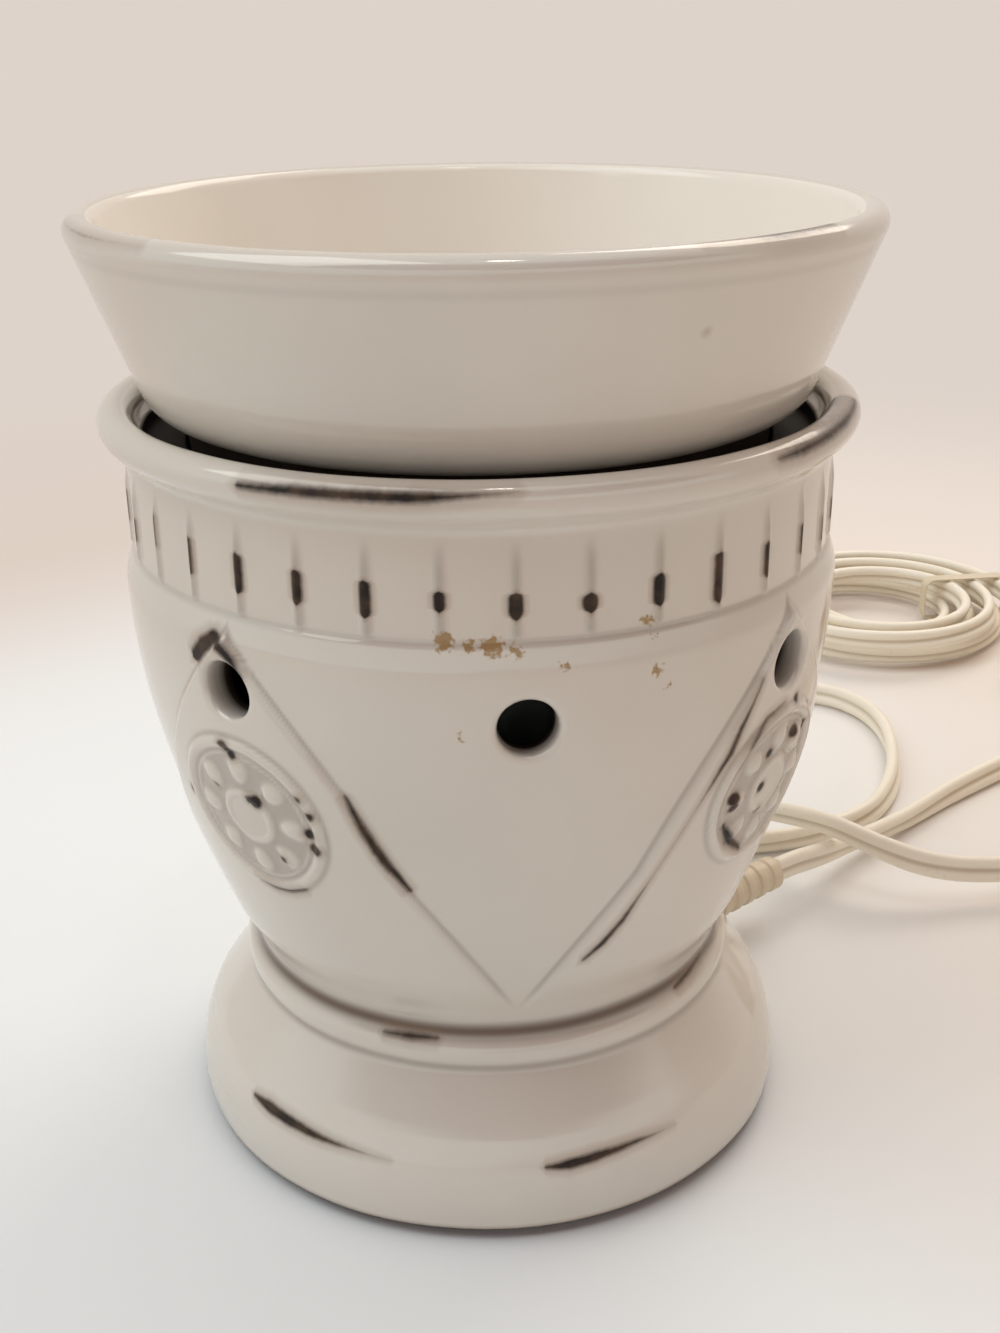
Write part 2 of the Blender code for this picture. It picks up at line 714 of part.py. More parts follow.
def strap_mesh(half_reach):
    """A strip along local Y with a raised bridge in its middle."""
    half_bridge = STRAP_BRIDGE / 2
    ramp_foot = half_bridge + STRAP_RAMP
    lower = [
        (-half_reach, 0),
        (-ramp_foot, 0),
        (-half_bridge, STRAP_RISE),
        (half_bridge, STRAP_RISE),
        (ramp_foot, 0),
        (half_reach, 0),
    ]
    upper = [(y, z + STRAP_THICKNESS) for y, z in reversed(lower)]
    mesh = prism("clamp_strap", lower + upper, STRAP_WIDTH)
    mesh.transform(Matrix(((0, 0, 1, -STRAP_WIDTH / 2), (1, 0, 0, 0), (0, 1, 0, 0), (0, 0, 0, 1))))
    return mesh


def make_socket(steel, phenolic, brass):
    nut_top = Z_BRIDGE - SEAT_GAP
    nipple_bottom = nut_top - NUT_HEIGHT - NIPPLE_TAIL
    nipple_top = Z_SOCKET + NIPPLE_GRIP
    nipple = tube_profile(NIPPLE_BORE_RADIUS, NIPPLE_RADIUS, nipple_bottom, nipple_top)
    add("socket_nipple", turned("socket_nipple", nipple, ROUND_STEPS), steel)
    nut_inner = (NIPPLE_RADIUS + SEAT_GAP) / math.cos(math.pi / 6)
    nut = tube_profile(nut_inner, nut_inner + NUT_WALL, nut_top - NUT_HEIGHT, nut_top)
    add("nipple_nut", turned("nipple_nut", nut, 6), steel)
    top = Z_SOCKET + SOCKET_HEIGHT
    bore = NIPPLE_RADIUS + SEAT_GAP
    bore_top = nipple_top + SEAT_GAP
    housing = [
        (0, bore_top),
        (bore, bore_top),
        (bore, Z_SOCKET),
        (SOCKET_RADIUS, Z_SOCKET),
        (SOCKET_RADIUS, top - EDGE_ROUND),
        (SOCKET_RADIUS - EDGE_ROUND, top),
        (SOCKET_BORE_RADIUS, top),
        (SOCKET_BORE_RADIUS, Z_SOCKET_FLOOR),
        (0, Z_SOCKET_FLOOR),
    ]
    socket = add("socket_housing", turned("socket_housing", housing, ROUND_STEPS), phenolic)
    shell_bottom = Z_SOCKET_FLOOR + SEAT_GAP
    lip = CONTACT_RADIUS + SHELL_THICKNESS
    shell = [
        (lip, shell_bottom),
        (SHELL_RADIUS, shell_bottom),
        (SHELL_RADIUS, top),
        (SHELL_RADIUS - SHELL_THICKNESS, top),
        (SHELL_RADIUS - SHELL_THICKNESS, shell_bottom + SHELL_THICKNESS),
        (lip, shell_bottom + SHELL_THICKNESS),
    ]
    add("socket_shell", turned("socket_shell", shell, ROUND_STEPS), brass)
    contact = [
        (0, shell_bottom),
        (CONTACT_RADIUS, shell_bottom),
        (CONTACT_RADIUS, shell_bottom + CONTACT_HEIGHT / 3),
        (TIP_RADIUS, shell_bottom + CONTACT_HEIGHT),
        (0, shell_bottom + CONTACT_HEIGHT),
    ]
    add("socket_contact", turned("socket_contact", contact, SMALL_STEPS), brass)
    height = Z_SOCKET + TERMINAL_LIFT
    facet = SOCKET_RADIUS * math.cos(math.pi / ROUND_STEPS)
    head = SOCKET_RADIUS + SEAT_GAP
    screw = [
        (0, facet - TERMINAL_DEPTH),
        (TERMINAL_RADIUS, facet - TERMINAL_DEPTH),
        (TERMINAL_RADIUS, head),
        (TERMINAL_HEAD_RADIUS, head),
        (TERMINAL_HEAD_RADIUS, head + TERMINAL_HEAD_HEIGHT),
        (0, head + TERMINAL_HEAD_HEIGHT),
    ]
    hole = rod_profile(TERMINAL_RADIUS + SEAT_GAP, facet - TERMINAL_DEPTH - SEAT_GAP, 2 * SOCKET_RADIUS)
    for number, side in enumerate((1, -1), start=1):
        turn = (0, math.pi / 2, CORD_TURN + side * TERMINAL_TURN)
        cut(socket, turned(f"terminal_hole_{number}", hole, SMALL_STEPS), (0, 0, height), turn)
        mesh = turned("terminal_screw", screw, SMALL_STEPS)
        add(f"terminal_screw_{number}", mesh, brass, (0, 0, height), turn)


def bulb_profile(shrink):
    """Neck, flare and dome of the bulb from its open end up to the axis."""
    neck = CAP_RADIUS - CAP_THICKNESS - SEAT_GAP - shrink
    widest = BULB_RADIUS - shrink
    steps = 5
    points = [(neck, Z_CAP_TOP - GLASS_SINK)]
    for i in range(steps + 1):
        share = i / steps
        swell = (1 - math.cos(math.pi * share)) / 2
        points.append((neck + (widest - neck) * swell, Z_CAP_TOP + BULB_FLARE_HEIGHT * (0.1 + 0.9 * share)))
    middle = (0, Z_CAP_TOP + BULB_FLARE_HEIGHT)
    dome = arc(middle, (widest, BULB_DOME_HEIGHT - shrink), 0, 90, 4)
    return points + dome[1:-1] + [(0, dome[-1][1])]


def make_bulb(glass, brass, black, solder, tungsten):
    shell = [*reversed(bulb_profile(0)), *bulb_profile(GLASS_THICKNESS)]
    add("bulb_glass", turned("bulb_glass", shell, ROUND_STEPS), glass)
    inner = CAP_RADIUS - CAP_THICKNESS
    hole = TIP_RADIUS * 2
    cap = [
        (hole, Z_CAP),
        (CAP_RADIUS - 2 * CAP_THICKNESS, Z_CAP),
        (CAP_RADIUS, Z_CAP + 2 * CAP_THICKNESS),
        (CAP_RADIUS, Z_CAP_TOP),
        (inner, Z_CAP_TOP),
        (inner, Z_CAP + 3 * CAP_THICKNESS),
        (hole, Z_CAP + CAP_THICKNESS),
    ]
    add("bulb_cap", turned("bulb_cap", cap, ROUND_STEPS), brass)
    seat = Z_CAP - SEAT_GAP
    insulator = [
        (0, seat - INSULATOR_HEIGHT),
        (TIP_RADIUS, seat - INSULATOR_HEIGHT),
        (CAP_RADIUS - 2 * CAP_THICKNESS, seat),
        (hole - SEAT_GAP, seat),
        (hole - SEAT_GAP, Z_CAP + CAP_THICKNESS),
        (0, Z_CAP + CAP_THICKNESS),
    ]
    add("bulb_insulator", turned("bulb_insulator", insulator, ROUND_STEPS), black)
    tip = [
        (0, Z_BULB),
        (TIP_RADIUS * 0.6, Z_BULB),
        (TIP_RADIUS, Z_BULB + TIP_HEIGHT / 2),
        (TIP_RADIUS, seat - INSULATOR_HEIGHT - SEAT_GAP),
        (0, seat - INSULATOR_HEIGHT - SEAT_GAP),
    ]
    add("bulb_tip", turned("bulb_tip", tip, SMALL_STEPS), solder)
    stem_bottom = Z_CAP + CAP_THICKNESS + SEAT_GAP
    stem_top = stem_bottom + STEM_HEIGHT
    stem = [
        (0, stem_bottom),
        (STEM_RADIUS * 1.6, stem_bottom),
        (STEM_RADIUS, stem_bottom + STEM_HEIGHT / 4),
        (STEM_RADIUS, stem_top),
        (0, stem_top),
    ]
    add("bulb_stem", turned("bulb_stem", stem, SMALL_STEPS), glass)
    foot = stem_top + SEAT_GAP
    half = STEM_RADIUS / 2
    arch = [(half, 0, foot)]
    for i in range(9):
        angle = math.pi * i / 8
        reach = FILAMENT_SPAN * math.cos(angle)
        arch.append((reach, 0, foot + FILAMENT_RISE + FILAMENT_SPAN * math.sin(angle)))
    arch.append((-half, 0, foot))
    tube("bulb_filament", arch, FILAMENT_RADIUS, tungsten, resolution=1)


def make_cord(cream, insulation, white):
    direction = Vector((math.cos(CORD_TURN), math.sin(CORD_TURN), 0))
    inner = PEDESTAL_RADIUS - CERAMIC_WALL - 2 * SEAT_GAP - EDGE_ROUND / 2
    outer = PEDESTAL_RADIUS + SEAT_GAP
    end = outer + RELIEF_LENGTH
    relief = [
        (0, inner - RELIEF_FLANGE_THICKNESS),
        (RELIEF_FLANGE_RADIUS, inner - RELIEF_FLANGE_THICKNESS),
        (RELIEF_FLANGE_RADIUS, inner),
        (RELIEF_NECK_RADIUS, inner),
        (RELIEF_NECK_RADIUS, outer),
        (RELIEF_ROOT_RADIUS, outer),
        (RELIEF_ROOT_RADIUS, outer + RELIEF_FLANGE_THICKNESS),
        (RELIEF_NECK_RADIUS, end),
        (0, end),
    ]
    turn = (0, math.pi / 2, CORD_TURN)
    mesh = turned("cord_strain_relief", relief, 16)
    add("cord_strain_relief", mesh, white, (0, 0, Z_CORD), turn)
    make_leads(inner - RELIEF_FLANGE_THICKNESS - SEAT_GAP, insulation)
    start = direction * (end + SEAT_GAP) + Vector((0, 0, Z_CORD))
    axis = Vector((math.cos(SWITCH_TURN), math.sin(SWITCH_TURN), 0))
    middle = Vector((*SWITCH_PLACE, SEAT_GAP + SWITCH_SHELL_HEIGHT + SEAT_GAP / 2))
    reach = axis * (SWITCH_LENGTH / 2 + SEAT_GAP)
    straight = 2 * CORD_RADIUS
    leave = [start, start + direction * straight]
    arrive = [middle + reach + axis * straight, middle + reach]
    out_points = smooth_route([*leave, *ROUTE_OUT, *arrive])
    tube("power_cord_out", out_points, CORD_RADIUS, cream)
    coil = coil_points()
    approach = (coil[0] - coil[1]).normalized()
    leave = [middle - reach, middle - reach - axis * straight]
    arrive = [coil[0] + approach * (SEAT_GAP + straight), coil[0] + approach * SEAT_GAP]
    back_points = smooth_route([*leave, *ROUTE_BACK, *arrive])
    tube("power_cord_back", back_points, CORD_RADIUS, cream)
    tube("power_cord_coil", coil, CORD_RADIUS, cream, resolution=1)
    print("least gap of the coil to itself", round(coil_gap(coil) * 1000, 2), "mm")
    lengths = [route_length(p) for p in (out_points, back_points, coil)]
    print("cord lengths", [round(v, 3) for v in lengths], "m, together", round(sum(lengths), 3))
    return coil


def make_leads(start_x, insulation):
    """The two cores inside, from the strain relief to the lampholder's terminals."""
    lead_side = LEAD_RADIUS + SEAT_GAP
    head_radius = SOCKET_RADIUS + SEAT_GAP + TERMINAL_HEAD_HEIGHT
    for number, side in enumerate((1, -1), start=1):
        stop = head_radius + SEAT_GAP + LEAD_RADIUS
        target = Vector((stop * math.cos(TERMINAL_TURN), side * stop * math.sin(TERMINAL_TURN), 0))
        terminal = target + Vector((0, 0, Z_SOCKET + TERMINAL_LIFT))
        start = Vector((start_x, side * lead_side, Z_CORD))
        middle = (start + terminal) / 2
        points = [
            start,
            start - Vector((4 * LEAD_RADIUS, 0, 0)),
            Vector((middle.x, side * 2 * lead_side, middle.z)),
            terminal + Vector((2 * LEAD_RADIUS, 0, 0)),
            terminal,
        ]
        tube(f"lead_{number}", smooth_route(points), LEAD_RADIUS, insulation, turn=(0, 0, CORD_TURN))


def coil_points():
    """The put-away length: it spirals in on the floor, climbs, and spirals out on top, nearer the front."""
    centre = Vector((*COIL_CENTRE, 0))
    straight = 2 * CORD_RADIUS
    count = round(COIL_TURNS * LOOP_POINTS)
    points = [centre + Vector((-straight, COIL_RADIUS, Z_COIL))]
    for i in range(count + 1):
        turns = i / LOOP_POINTS
        angle = math.pi / 2 - math.tau * turns
        radius = COIL_RADIUS - COIL_PITCH * min(turns, COIL_TURNS - turns)
        share = min(1, max(0, (turns - COIL_TURNS / 2) * 2 + 0.5))
        share = share * share * (3 - 2 * share)
        place = Vector((radius * math.cos(angle), radius * math.sin(angle), Z_COIL))
        points.append(centre + place + Vector((0, -COIL_SHIFT, COIL_LAYER)) * share)
    heading = angle - math.pi / 2
    points.append(points[-1] + Vector((math.cos(heading), math.sin(heading), 0)) * COIL_TAIL)
    return points


def coil_gap(points):
    """The least distance between the tube's own turns, measured along its centreline."""
    fine = []
    for a, b in zip(points, points[1:]):
        fine += [a.lerp(b, i / 4) for i in range(4)]
    apart = LOOP_POINTS * 2
    least = min(
        (fine[i] - fine[j]).length for i in range(len(fine)) for j in range(i + apart, len(fine))
    )
    return least - 2 * CORD_RADIUS


def make_tie(black):
    """A band round the bundle of turns, on the coil's right."""
    least = COIL_RADIUS - COIL_PITCH * COIL_TURNS / 2
    width = COIL_RADIUS - least + 2 * (CORD_RADIUS + TIE_SLACK)
    height = COIL_LAYER + 2 * (CORD_RADIUS + TIE_SLACK)
    inner = rounded_outline(width, height, CORD_RADIUS, 3)
    corner = CORD_RADIUS + TIE_THICKNESS
    outer = rounded_outline(width + 2 * TIE_THICKNESS, height + 2 * TIE_THICKNESS, corner, 3)
    shape = bmesh.new()
    rings = []
    for outline, y in ((inner, 0), (outer, 0), (outer, TIE_WIDTH), (inner, TIE_WIDTH)):
        rings.append([shape.verts.new((x, y - TIE_WIDTH / 2, z)) for x, z in outline])
    for lower, upper in zip(rings, [*rings[1:], rings[0]]):
        ring_faces(shape, lower, upper)
    middle = (COIL_CENTRE[0] + (COIL_RADIUS + least) / 2, COIL_CENTRE[1], Z_COIL + COIL_LAYER / 2)
    add("cord_tie", mesh_from("cord_tie", shape), black, middle)


def make_switch(white, brass, steel):
    """Two shells that meet at the cord's axis, with a thumbwheel that shows at one side."""
    seam = SEAT_GAP + SWITCH_SHELL_HEIGHT + SEAT_GAP / 2
    turn = (0, 0, SWITCH_TURN)
    outline = rounded_outline(SWITCH_LENGTH, SWITCH_WIDTH, SWITCH_CORNER)
    hollow_length = SWITCH_LENGTH - 2 * SWITCH_WALL
    hollow = rounded_outline(hollow_length, SWITCH_WIDTH - 2 * SWITCH_WALL, SWITCH_CORNER - SWITCH_WALL)
    facing = Matrix.Rotation(SWITCH_TURN, 4, "Z")
    place = Vector((*SWITCH_PLACE, seam))
    wheel_side = SWITCH_WIDTH / 2 + WHEEL_SHOW - WHEEL_RADIUS
    wheel_place = place + facing @ Vector((0, wheel_side, 0))
    screw_place = place + facing @ Vector((-SWITCH_LENGTH / 3, 0, 0))
    half_spindle = SWITCH_SHELL_HEIGHT - SWITCH_WALL + SPINDLE_SINK
    slot_half = WHEEL_THICKNESS / 2 + SEAT_GAP
    slot = rod_profile(WHEEL_RADIUS + SEAT_GAP, -slot_half, slot_half)
    bore_half = half_spindle + SEAT_GAP
    bore = rod_profile(SPINDLE_RADIUS + SEAT_GAP, -bore_half, bore_half)
    screw_top = SWITCH_SHELL_HEIGHT - SWITCH_WALL / 3
    screw_hole = rod_profile(SCREW_RADIUS + SEAT_GAP, -2 * SWITCH_SHELL_HEIGHT, screw_top)
    head_hole = rod_profile(SCREW_HEAD_RADIUS + SEAT_GAP, -2 * SWITCH_SHELL_HEIGHT, SCREW_HEAD_HEIGHT - seam)
    for name, side in (("switch_base", -1), ("switch_top", 1)):
        shell = prism(name, outline, SWITCH_SHELL_HEIGHT)
        cavity = prism(f"{name}_cavity", hollow, SWITCH_SHELL_HEIGHT)
        shift = SEAT_GAP / 2 if side > 0 else -SEAT_GAP / 2 - SWITCH_SHELL_HEIGHT
        drop = -SWITCH_WALL if side > 0 else SWITCH_WALL
        piece = add(name, shell, white, place + Vector((0, 0, shift)), turn)
        cut(piece, cavity, place + Vector((0, 0, shift + drop)), turn)
        cut(piece, turned(f"{name}_slot", slot, ROUND_STEPS), wheel_place)
        cut(piece, turned(f"{name}_bore", bore, SMALL_STEPS), wheel_place)
        cut(piece, turned(f"{name}_screw_hole", screw_hole, SMALL_STEPS), screw_place)
        if side < 0:
            cut(piece, turned("switch_head_hole", head_hole, SMALL_STEPS), screw_place)
    edge = []
    for i in range(2 * WHEEL_TEETH):
        angle = math.pi * i / WHEEL_TEETH
        radius = WHEEL_RADIUS - WHEEL_TOOTH_DEPTH * (i % 2)
        edge.append((radius * math.cos(angle), radius * math.sin(angle)))
    wheel = add("switch_wheel", prism("switch_wheel", edge, WHEEL_THICKNESS), white)
    wheel.data.transform(Matrix.Translation((0, 0, -WHEEL_THICKNESS / 2)))
    wheel.location = wheel_place
    pin = rod_profile(SPINDLE_RADIUS, -half_spindle, half_spindle)
    spindle = helper("join_spindle", turned("spindle", pin, SMALL_STEPS))
    spindle.location = wheel_place
    combine(wheel, spindle, "UNION")
    head_bottom = SEAT_GAP - seam
    head_top = head_bottom + SCREW_HEAD_HEIGHT - SEAT_GAP
    screw = [
        (0, head_bottom),
        (SCREW_HEAD_RADIUS, head_bottom),
        (SCREW_HEAD_RADIUS, head_top),
        (SCREW_RADIUS, head_top),
        (SCREW_RADIUS, screw_top - SEAT_GAP),
        (0, screw_top - SEAT_GAP),
    ]
    add("switch_screw", turned("switch_screw", screw, SMALL_STEPS), steel, screw_place)
    size = SWITCH_CONTACT_SIZE
    lift = -SEAT_GAP / 2 - SWITCH_SHELL_HEIGHT + SWITCH_WALL + SEAT_GAP + size[2] / 2
    for number, side in enumerate((1, -1), start=1):
        mesh = box("switch_contact", size, (side * SWITCH_CONTACT_PLACE[0], SWITCH_CONTACT_PLACE[1], lift))
        add(f"switch_contact_{number}", mesh, brass, place, turn)


def make_plug(cream, brass, coil):
    """A two-blade plug at the coil's end, lying flat, its local X along the cord."""
    heading = (coil[-1] - coil[-2]).normalized()
    place = coil[-1] + heading * SEAT_GAP
    turn = (0, 0, math.atan2(heading.y, heading.x))
    sections = [
        (0, PLUG_TAIL_RADIUS, PLUG_TAIL_RADIUS),
        (PLUG_LENGTH * 0.35, PLUG_TAIL_RADIUS * 1.3, PLUG_TAIL_RADIUS * 1.2),
        (PLUG_LENGTH * 0.55, PLUG_WIDTH / 2, PLUG_HEIGHT / 2),
        (PLUG_LENGTH - EDGE_ROUND, PLUG_WIDTH / 2, PLUG_HEIGHT / 2),
        (PLUG_LENGTH, PLUG_WIDTH / 2 - EDGE_ROUND, PLUG_HEIGHT / 2 - EDGE_ROUND),
    ]
    shape = bmesh.new()
    rings = []
    for x, half_width, half_height in sections:
        corner = min(half_width, half_height) * 0.6
        outline = rounded_outline(2 * half_width, 2 * half_height, corner, 3)
        rings.append([shape.verts.new((x, y, z)) for y, z in outline])
    for lower, upper in zip(rings, rings[1:]):
        ring_faces(shape, lower, upper)
    shape.faces.new(rings[0])
    shape.faces.new(rings[-1])
    body = add("plug_body", mesh_from("plug_body", shape), cream, place, turn)
    for number, (side, width) in enumerate(zip((1, -1), BLADE_WIDTHS), start=1):
        y = side * BLADE_SPACING / 2
        whole = BLADE_LENGTH + BLADE_ROOT
        start = PLUG_LENGTH - BLADE_ROOT
        slot_size = (whole, BLADE_THICKNESS + 2 * SEAT_GAP, width + 2 * SEAT_GAP)
        slot = box(f"blade_slot_{number}", slot_size, (start - SEAT_GAP + whole / 2, y, 0))
        cut(body, slot, place, turn)
        blade = box("plug_blade", (whole, BLADE_THICKNESS, width), (start + whole / 2, y, 0))
        add(f"plug_blade_{number}", blade, brass, place, turn)


def main():
    for old in list(bpy.data.objects):
        bpy.data.objects.remove(old, do_unlink=True)
    glaze = material("white_glaze", (0.78, 0.74, 0.66), 0.18)
    steel = material("zinc_steel", (0.62, 0.62, 0.62), 0.35, 1.0)
    rubber = material("grey_rubber", (0.30, 0.29, 0.28), 0.70)
    phenolic = material("black_phenolic", (0.03, 0.03, 0.03), 0.40)
    brass = material("brass", (0.72, 0.55, 0.28), 0.30, 1.0)
    glass = material("bulb_glass", (0.92, 0.92, 0.90), 0.10, 0.0, 0.8)
    black = material("black_glass", (0.02, 0.02, 0.02), 0.20)
    solder = material("solder", (0.70, 0.70, 0.72), 0.40, 1.0)
    tungsten = material("tungsten", (0.25, 0.25, 0.26), 0.45, 1.0)
    cream = material("cream_cord", (0.68, 0.55, 0.36), 0.45)
    insulation = material("lead_insulation", (0.70, 0.60, 0.44), 0.50)
    white = material("cream_plastic", (0.72, 0.62, 0.46), 0.40)
    make_body(glaze)
    make_dish(glaze)
    make_base(steel, rubber)
    make_socket(steel, phenolic, brass)
    make_bulb(glass, brass, black, solder, tungsten)
    coil = make_cord(cream, insulation, white)
    make_tie(black)
    make_switch(white, brass, steel)
    make_plug(cream, brass, coil)


main()
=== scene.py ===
"""Looks of an electric wax warmer in worn white glaze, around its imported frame. Sizes are in metres."""
import json
import math

import bmesh
import bpy
import numpy as np
from mathutils import Matrix, Vector

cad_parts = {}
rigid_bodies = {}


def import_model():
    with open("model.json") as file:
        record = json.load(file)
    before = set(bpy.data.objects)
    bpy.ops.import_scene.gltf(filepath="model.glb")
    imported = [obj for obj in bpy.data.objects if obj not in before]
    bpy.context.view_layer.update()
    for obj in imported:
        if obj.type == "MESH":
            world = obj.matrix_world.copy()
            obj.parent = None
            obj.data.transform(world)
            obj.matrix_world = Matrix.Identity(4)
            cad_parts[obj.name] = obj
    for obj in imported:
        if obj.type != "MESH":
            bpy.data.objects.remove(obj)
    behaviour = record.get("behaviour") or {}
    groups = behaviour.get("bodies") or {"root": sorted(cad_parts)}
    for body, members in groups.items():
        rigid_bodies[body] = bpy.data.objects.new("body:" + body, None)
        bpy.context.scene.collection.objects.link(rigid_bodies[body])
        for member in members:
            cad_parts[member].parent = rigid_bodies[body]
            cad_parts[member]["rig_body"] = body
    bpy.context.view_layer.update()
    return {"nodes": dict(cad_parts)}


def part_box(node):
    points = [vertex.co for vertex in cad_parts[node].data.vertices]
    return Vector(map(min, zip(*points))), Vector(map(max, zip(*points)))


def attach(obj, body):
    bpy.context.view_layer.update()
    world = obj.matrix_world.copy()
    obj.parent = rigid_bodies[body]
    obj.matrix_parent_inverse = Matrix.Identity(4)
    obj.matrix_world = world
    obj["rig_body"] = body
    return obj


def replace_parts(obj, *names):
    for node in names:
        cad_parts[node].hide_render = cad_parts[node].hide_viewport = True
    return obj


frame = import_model()
nodes = frame["nodes"]
chance = np.random.default_rng(11)

# Camera
CAMERA_PLACE = (-0.02544, -0.24206, 0.17620)
CAMERA_HEADING = math.radians(6.646)
CAMERA_PITCH = math.radians(22.589)
CAMERA_ROLL = math.radians(-0.628)
CAMERA_LENS = 42.96

# Studio
BACKDROP = (0.73, 0.65, 0.59)
COOL_SIDE = (0.80, 0.86, 0.87)
WARM_SIDE = (0.58, 0.47, 0.40)
ABOVE = (0.85, 0.85, 0.83)
PALE_PATCH = (0.80, 0.79, 0.76)
BROWN_PATCH = (0.16, 0.02, 0.0)
FLOOR_RADIUS = 6.0
FLOOR_DROP = 0.0001
FLOOR_FADE = (0.17, 0.34)
FLOOR_GLOW = (0.22, 0.60)
# where the floor's painted warm light starts and ends, along x
FLOOR_WARM_LIGHT = (0.02, 0.18)

# Glazed body: its outline from the foot up
FOOT_LIFT = 0.0015
PEDESTAL_RADIUS = 0.0506
PEDESTAL_SWELL = 0.0004
Z_SHOULDER = 0.0134
NECK_RADIUS = 0.0411
Z_NECK = 0.0252
RING_RADIUS = 0.0418
Z_RING_TOP = 0.0300
WAIST_RADIUS = 0.0399
Z_WAIST = 0.0326
BOWL_HEIGHT = 0.0634
BELLY_RADIUS = 0.0557
Z_BELLY_TOP = 0.0960
Z_BAND = 0.1005
BAND_RADIUS = 0.0541
Z_FLARE = 0.1148
LIP_CENTRE = (0.0552, 0.1200)
LIP_RADIUS = 0.0026
LUSTRE = 0.12
# how much of the paler, creamier tone the inside of the dish and the mouth take: partly the glaze's own tint,
# partly painted light from above
LIT_CREAM_INSIDE = 0.85

# Inside of the body, from the mouth down to the recess for the cover plate
CERAMIC_WALL = 0.0040
Z_GLAZED_INSIDE = 0.1180
MOUTH_RADIUS = 0.0513
Z_MOUTH = 0.1184
Z_SEAT = 0.1160
SEAT_RADIUS = 0.0450
Z_STEP = 0.1140
THROAT_RADIUS = 0.0405
Z_THROAT = 0.1100
INSIDE_TOP = [(0.0501, 0.1024), (0.0516, 0.0985)]
Z_FLANGE = 0.0057
OPENING_RADIUS = 0.0300
Z_RECESS = 0.0031
RECESS_RADIUS = 0.0389
FOOT_INNER = (0.0396, 0.0404)
HOLE_ROUNDING = 0.0009

# Ornament on the body
PANEL_COUNT = 4
PANEL_TURN = math.radians(45)
PANEL_RISE = 0.0009
Z_PANEL_TIP = 0.0980
Z_PANEL_FOOT = 0.0372
PANEL_FOOT_HALF = math.radians(42.6)
PANEL_SWELL = math.radians(3.0)
PANEL_SWELL_HEIGHT = 0.0360
PANEL_FADE = (0.0345, 0.0415)
EDGE_SOFTNESS = 0.0008
MEDALLION_RADIUS = 0.01375
Z_MEDALLION = 0.0697

# Rosettes: middle, half width and height of each ring, inner and outer edge and height of the disc
ROSETTE_RINGS = [(0.0122, 0.0014, 0.00070), (0.0104, 0.0005, 0.00025), (0.0040, 0.0011, 0.00050)]
ROSETTE_DISC = (0.0034, 0.0040, 0.00028)
PETALS = 8
PETAL_MIDDLE = 0.0079
PETAL_HALF_LENGTH = 0.0028
PETAL_HALF_WIDTH = 0.0024
PETAL_FLARE = 0.0006
PETAL_RISE = 0.00070

# Ribs and holes
RIB_COUNT = 35
RIB_TURN = math.radians(-1.5)
RIB_PROUD = 0.0005
RIB_HALF = 0.0011
RIB_BOTTOM = 0.1012
RIB_TOP = 0.1142
VENT_RADIUS = 0.0042
Z_VENT = 0.0886
Z_PANEL_VENT = 0.0903
CORD_HOLE_RADIUS = 0.0034

# Fineness of the glazed meshes
COLUMNS = 792
ROW_SPACING = 0.00045
VENT_HALF = 14
CORD_HOLE_HALF = 9

# Wax dish
Z_DISH = 0.1143
DISH_FOOT = (0.0410, 0.0445)
Z_DISH_UNDER = 0.1180
Z_DISH_WALL = 0.1260
DISH_WALL_RADIUS = 0.0513
DISH_TURN = (0.0068, 0.0056)
DISH_BEAD_CENTRE = (0.0574, 0.1477)
DISH_BEAD = 0.0023
DISH_INSIDE_RADIUS = 0.0477
DISH_FLOOR_TURN = 0.0072
DISH_WALL_MIDDLES = (0.0455, 0.0495, 0.0562)
Z_DISH_FLOOR = 0.1220
DISH_COLUMNS = 720

# Power cord: flat, two cores side by side
CORD_WIDTH = 0.0056
CORE_RADIUS = 0.0014
CORE_WEB = 0.0007
CORD_EXIT_TURN = math.radians(30)
Z_CORD = 0.0102
RELIEF_INNER = 0.0438
RELIEF_START = 0.0509
RELIEF_END = 0.0729
RELIEF_RADIUS = 0.0046
RELIEF_TAPER = 0.0012
RELIEF_NECK = 0.0032
RELIEF_FLANGE = 0.0042
RELIEF_RIBS = 6
RELIEF_RIB_DEPTH = 0.00035
CORD_START = 0.0732
STRAIGHT = 0.0056
LEAN = math.radians(24)
LEAN_PERIOD = 0.120
SWITCH_PLACE = (0.1550, 0.0560, 0.00875)
SWITCH_TURN = math.radians(30.6)
SWITCH_REACH = 0.0283
COIL_CENTRE = (0.1400, 0.1975)
COIL_RADIUS = 0.0395
COIL_PITCH = 0.0075
COIL_LAYER = 0.0061
COIL_TURNS = 5.25
COIL_SHIFT = 0.0060
COIL_TAIL = 0.0200
Z_COIL = 0.0037
LOOP_POINTS = 72
CORD_POINT_SPACING = 0.0012
Z_LYING = 0.0029
ROUTE_OUT = [
    (0.0775, 0.0465, 0.0080), (0.0890, 0.0568, 0.0050), (0.1035, 0.0676, 0.0032), (0.1190, 0.0794),
    (0.1360, 0.0904), (0.1490, 0.0980), (0.1604, 0.1049), (0.1706, 0.1077, 0.0031),
    (0.1806, 0.1050, 0.0040), (0.1879, 0.0977, 0.0054), (0.1906, 0.0877, 0.0070), (0.1878, 0.0778, 0.0081),
]
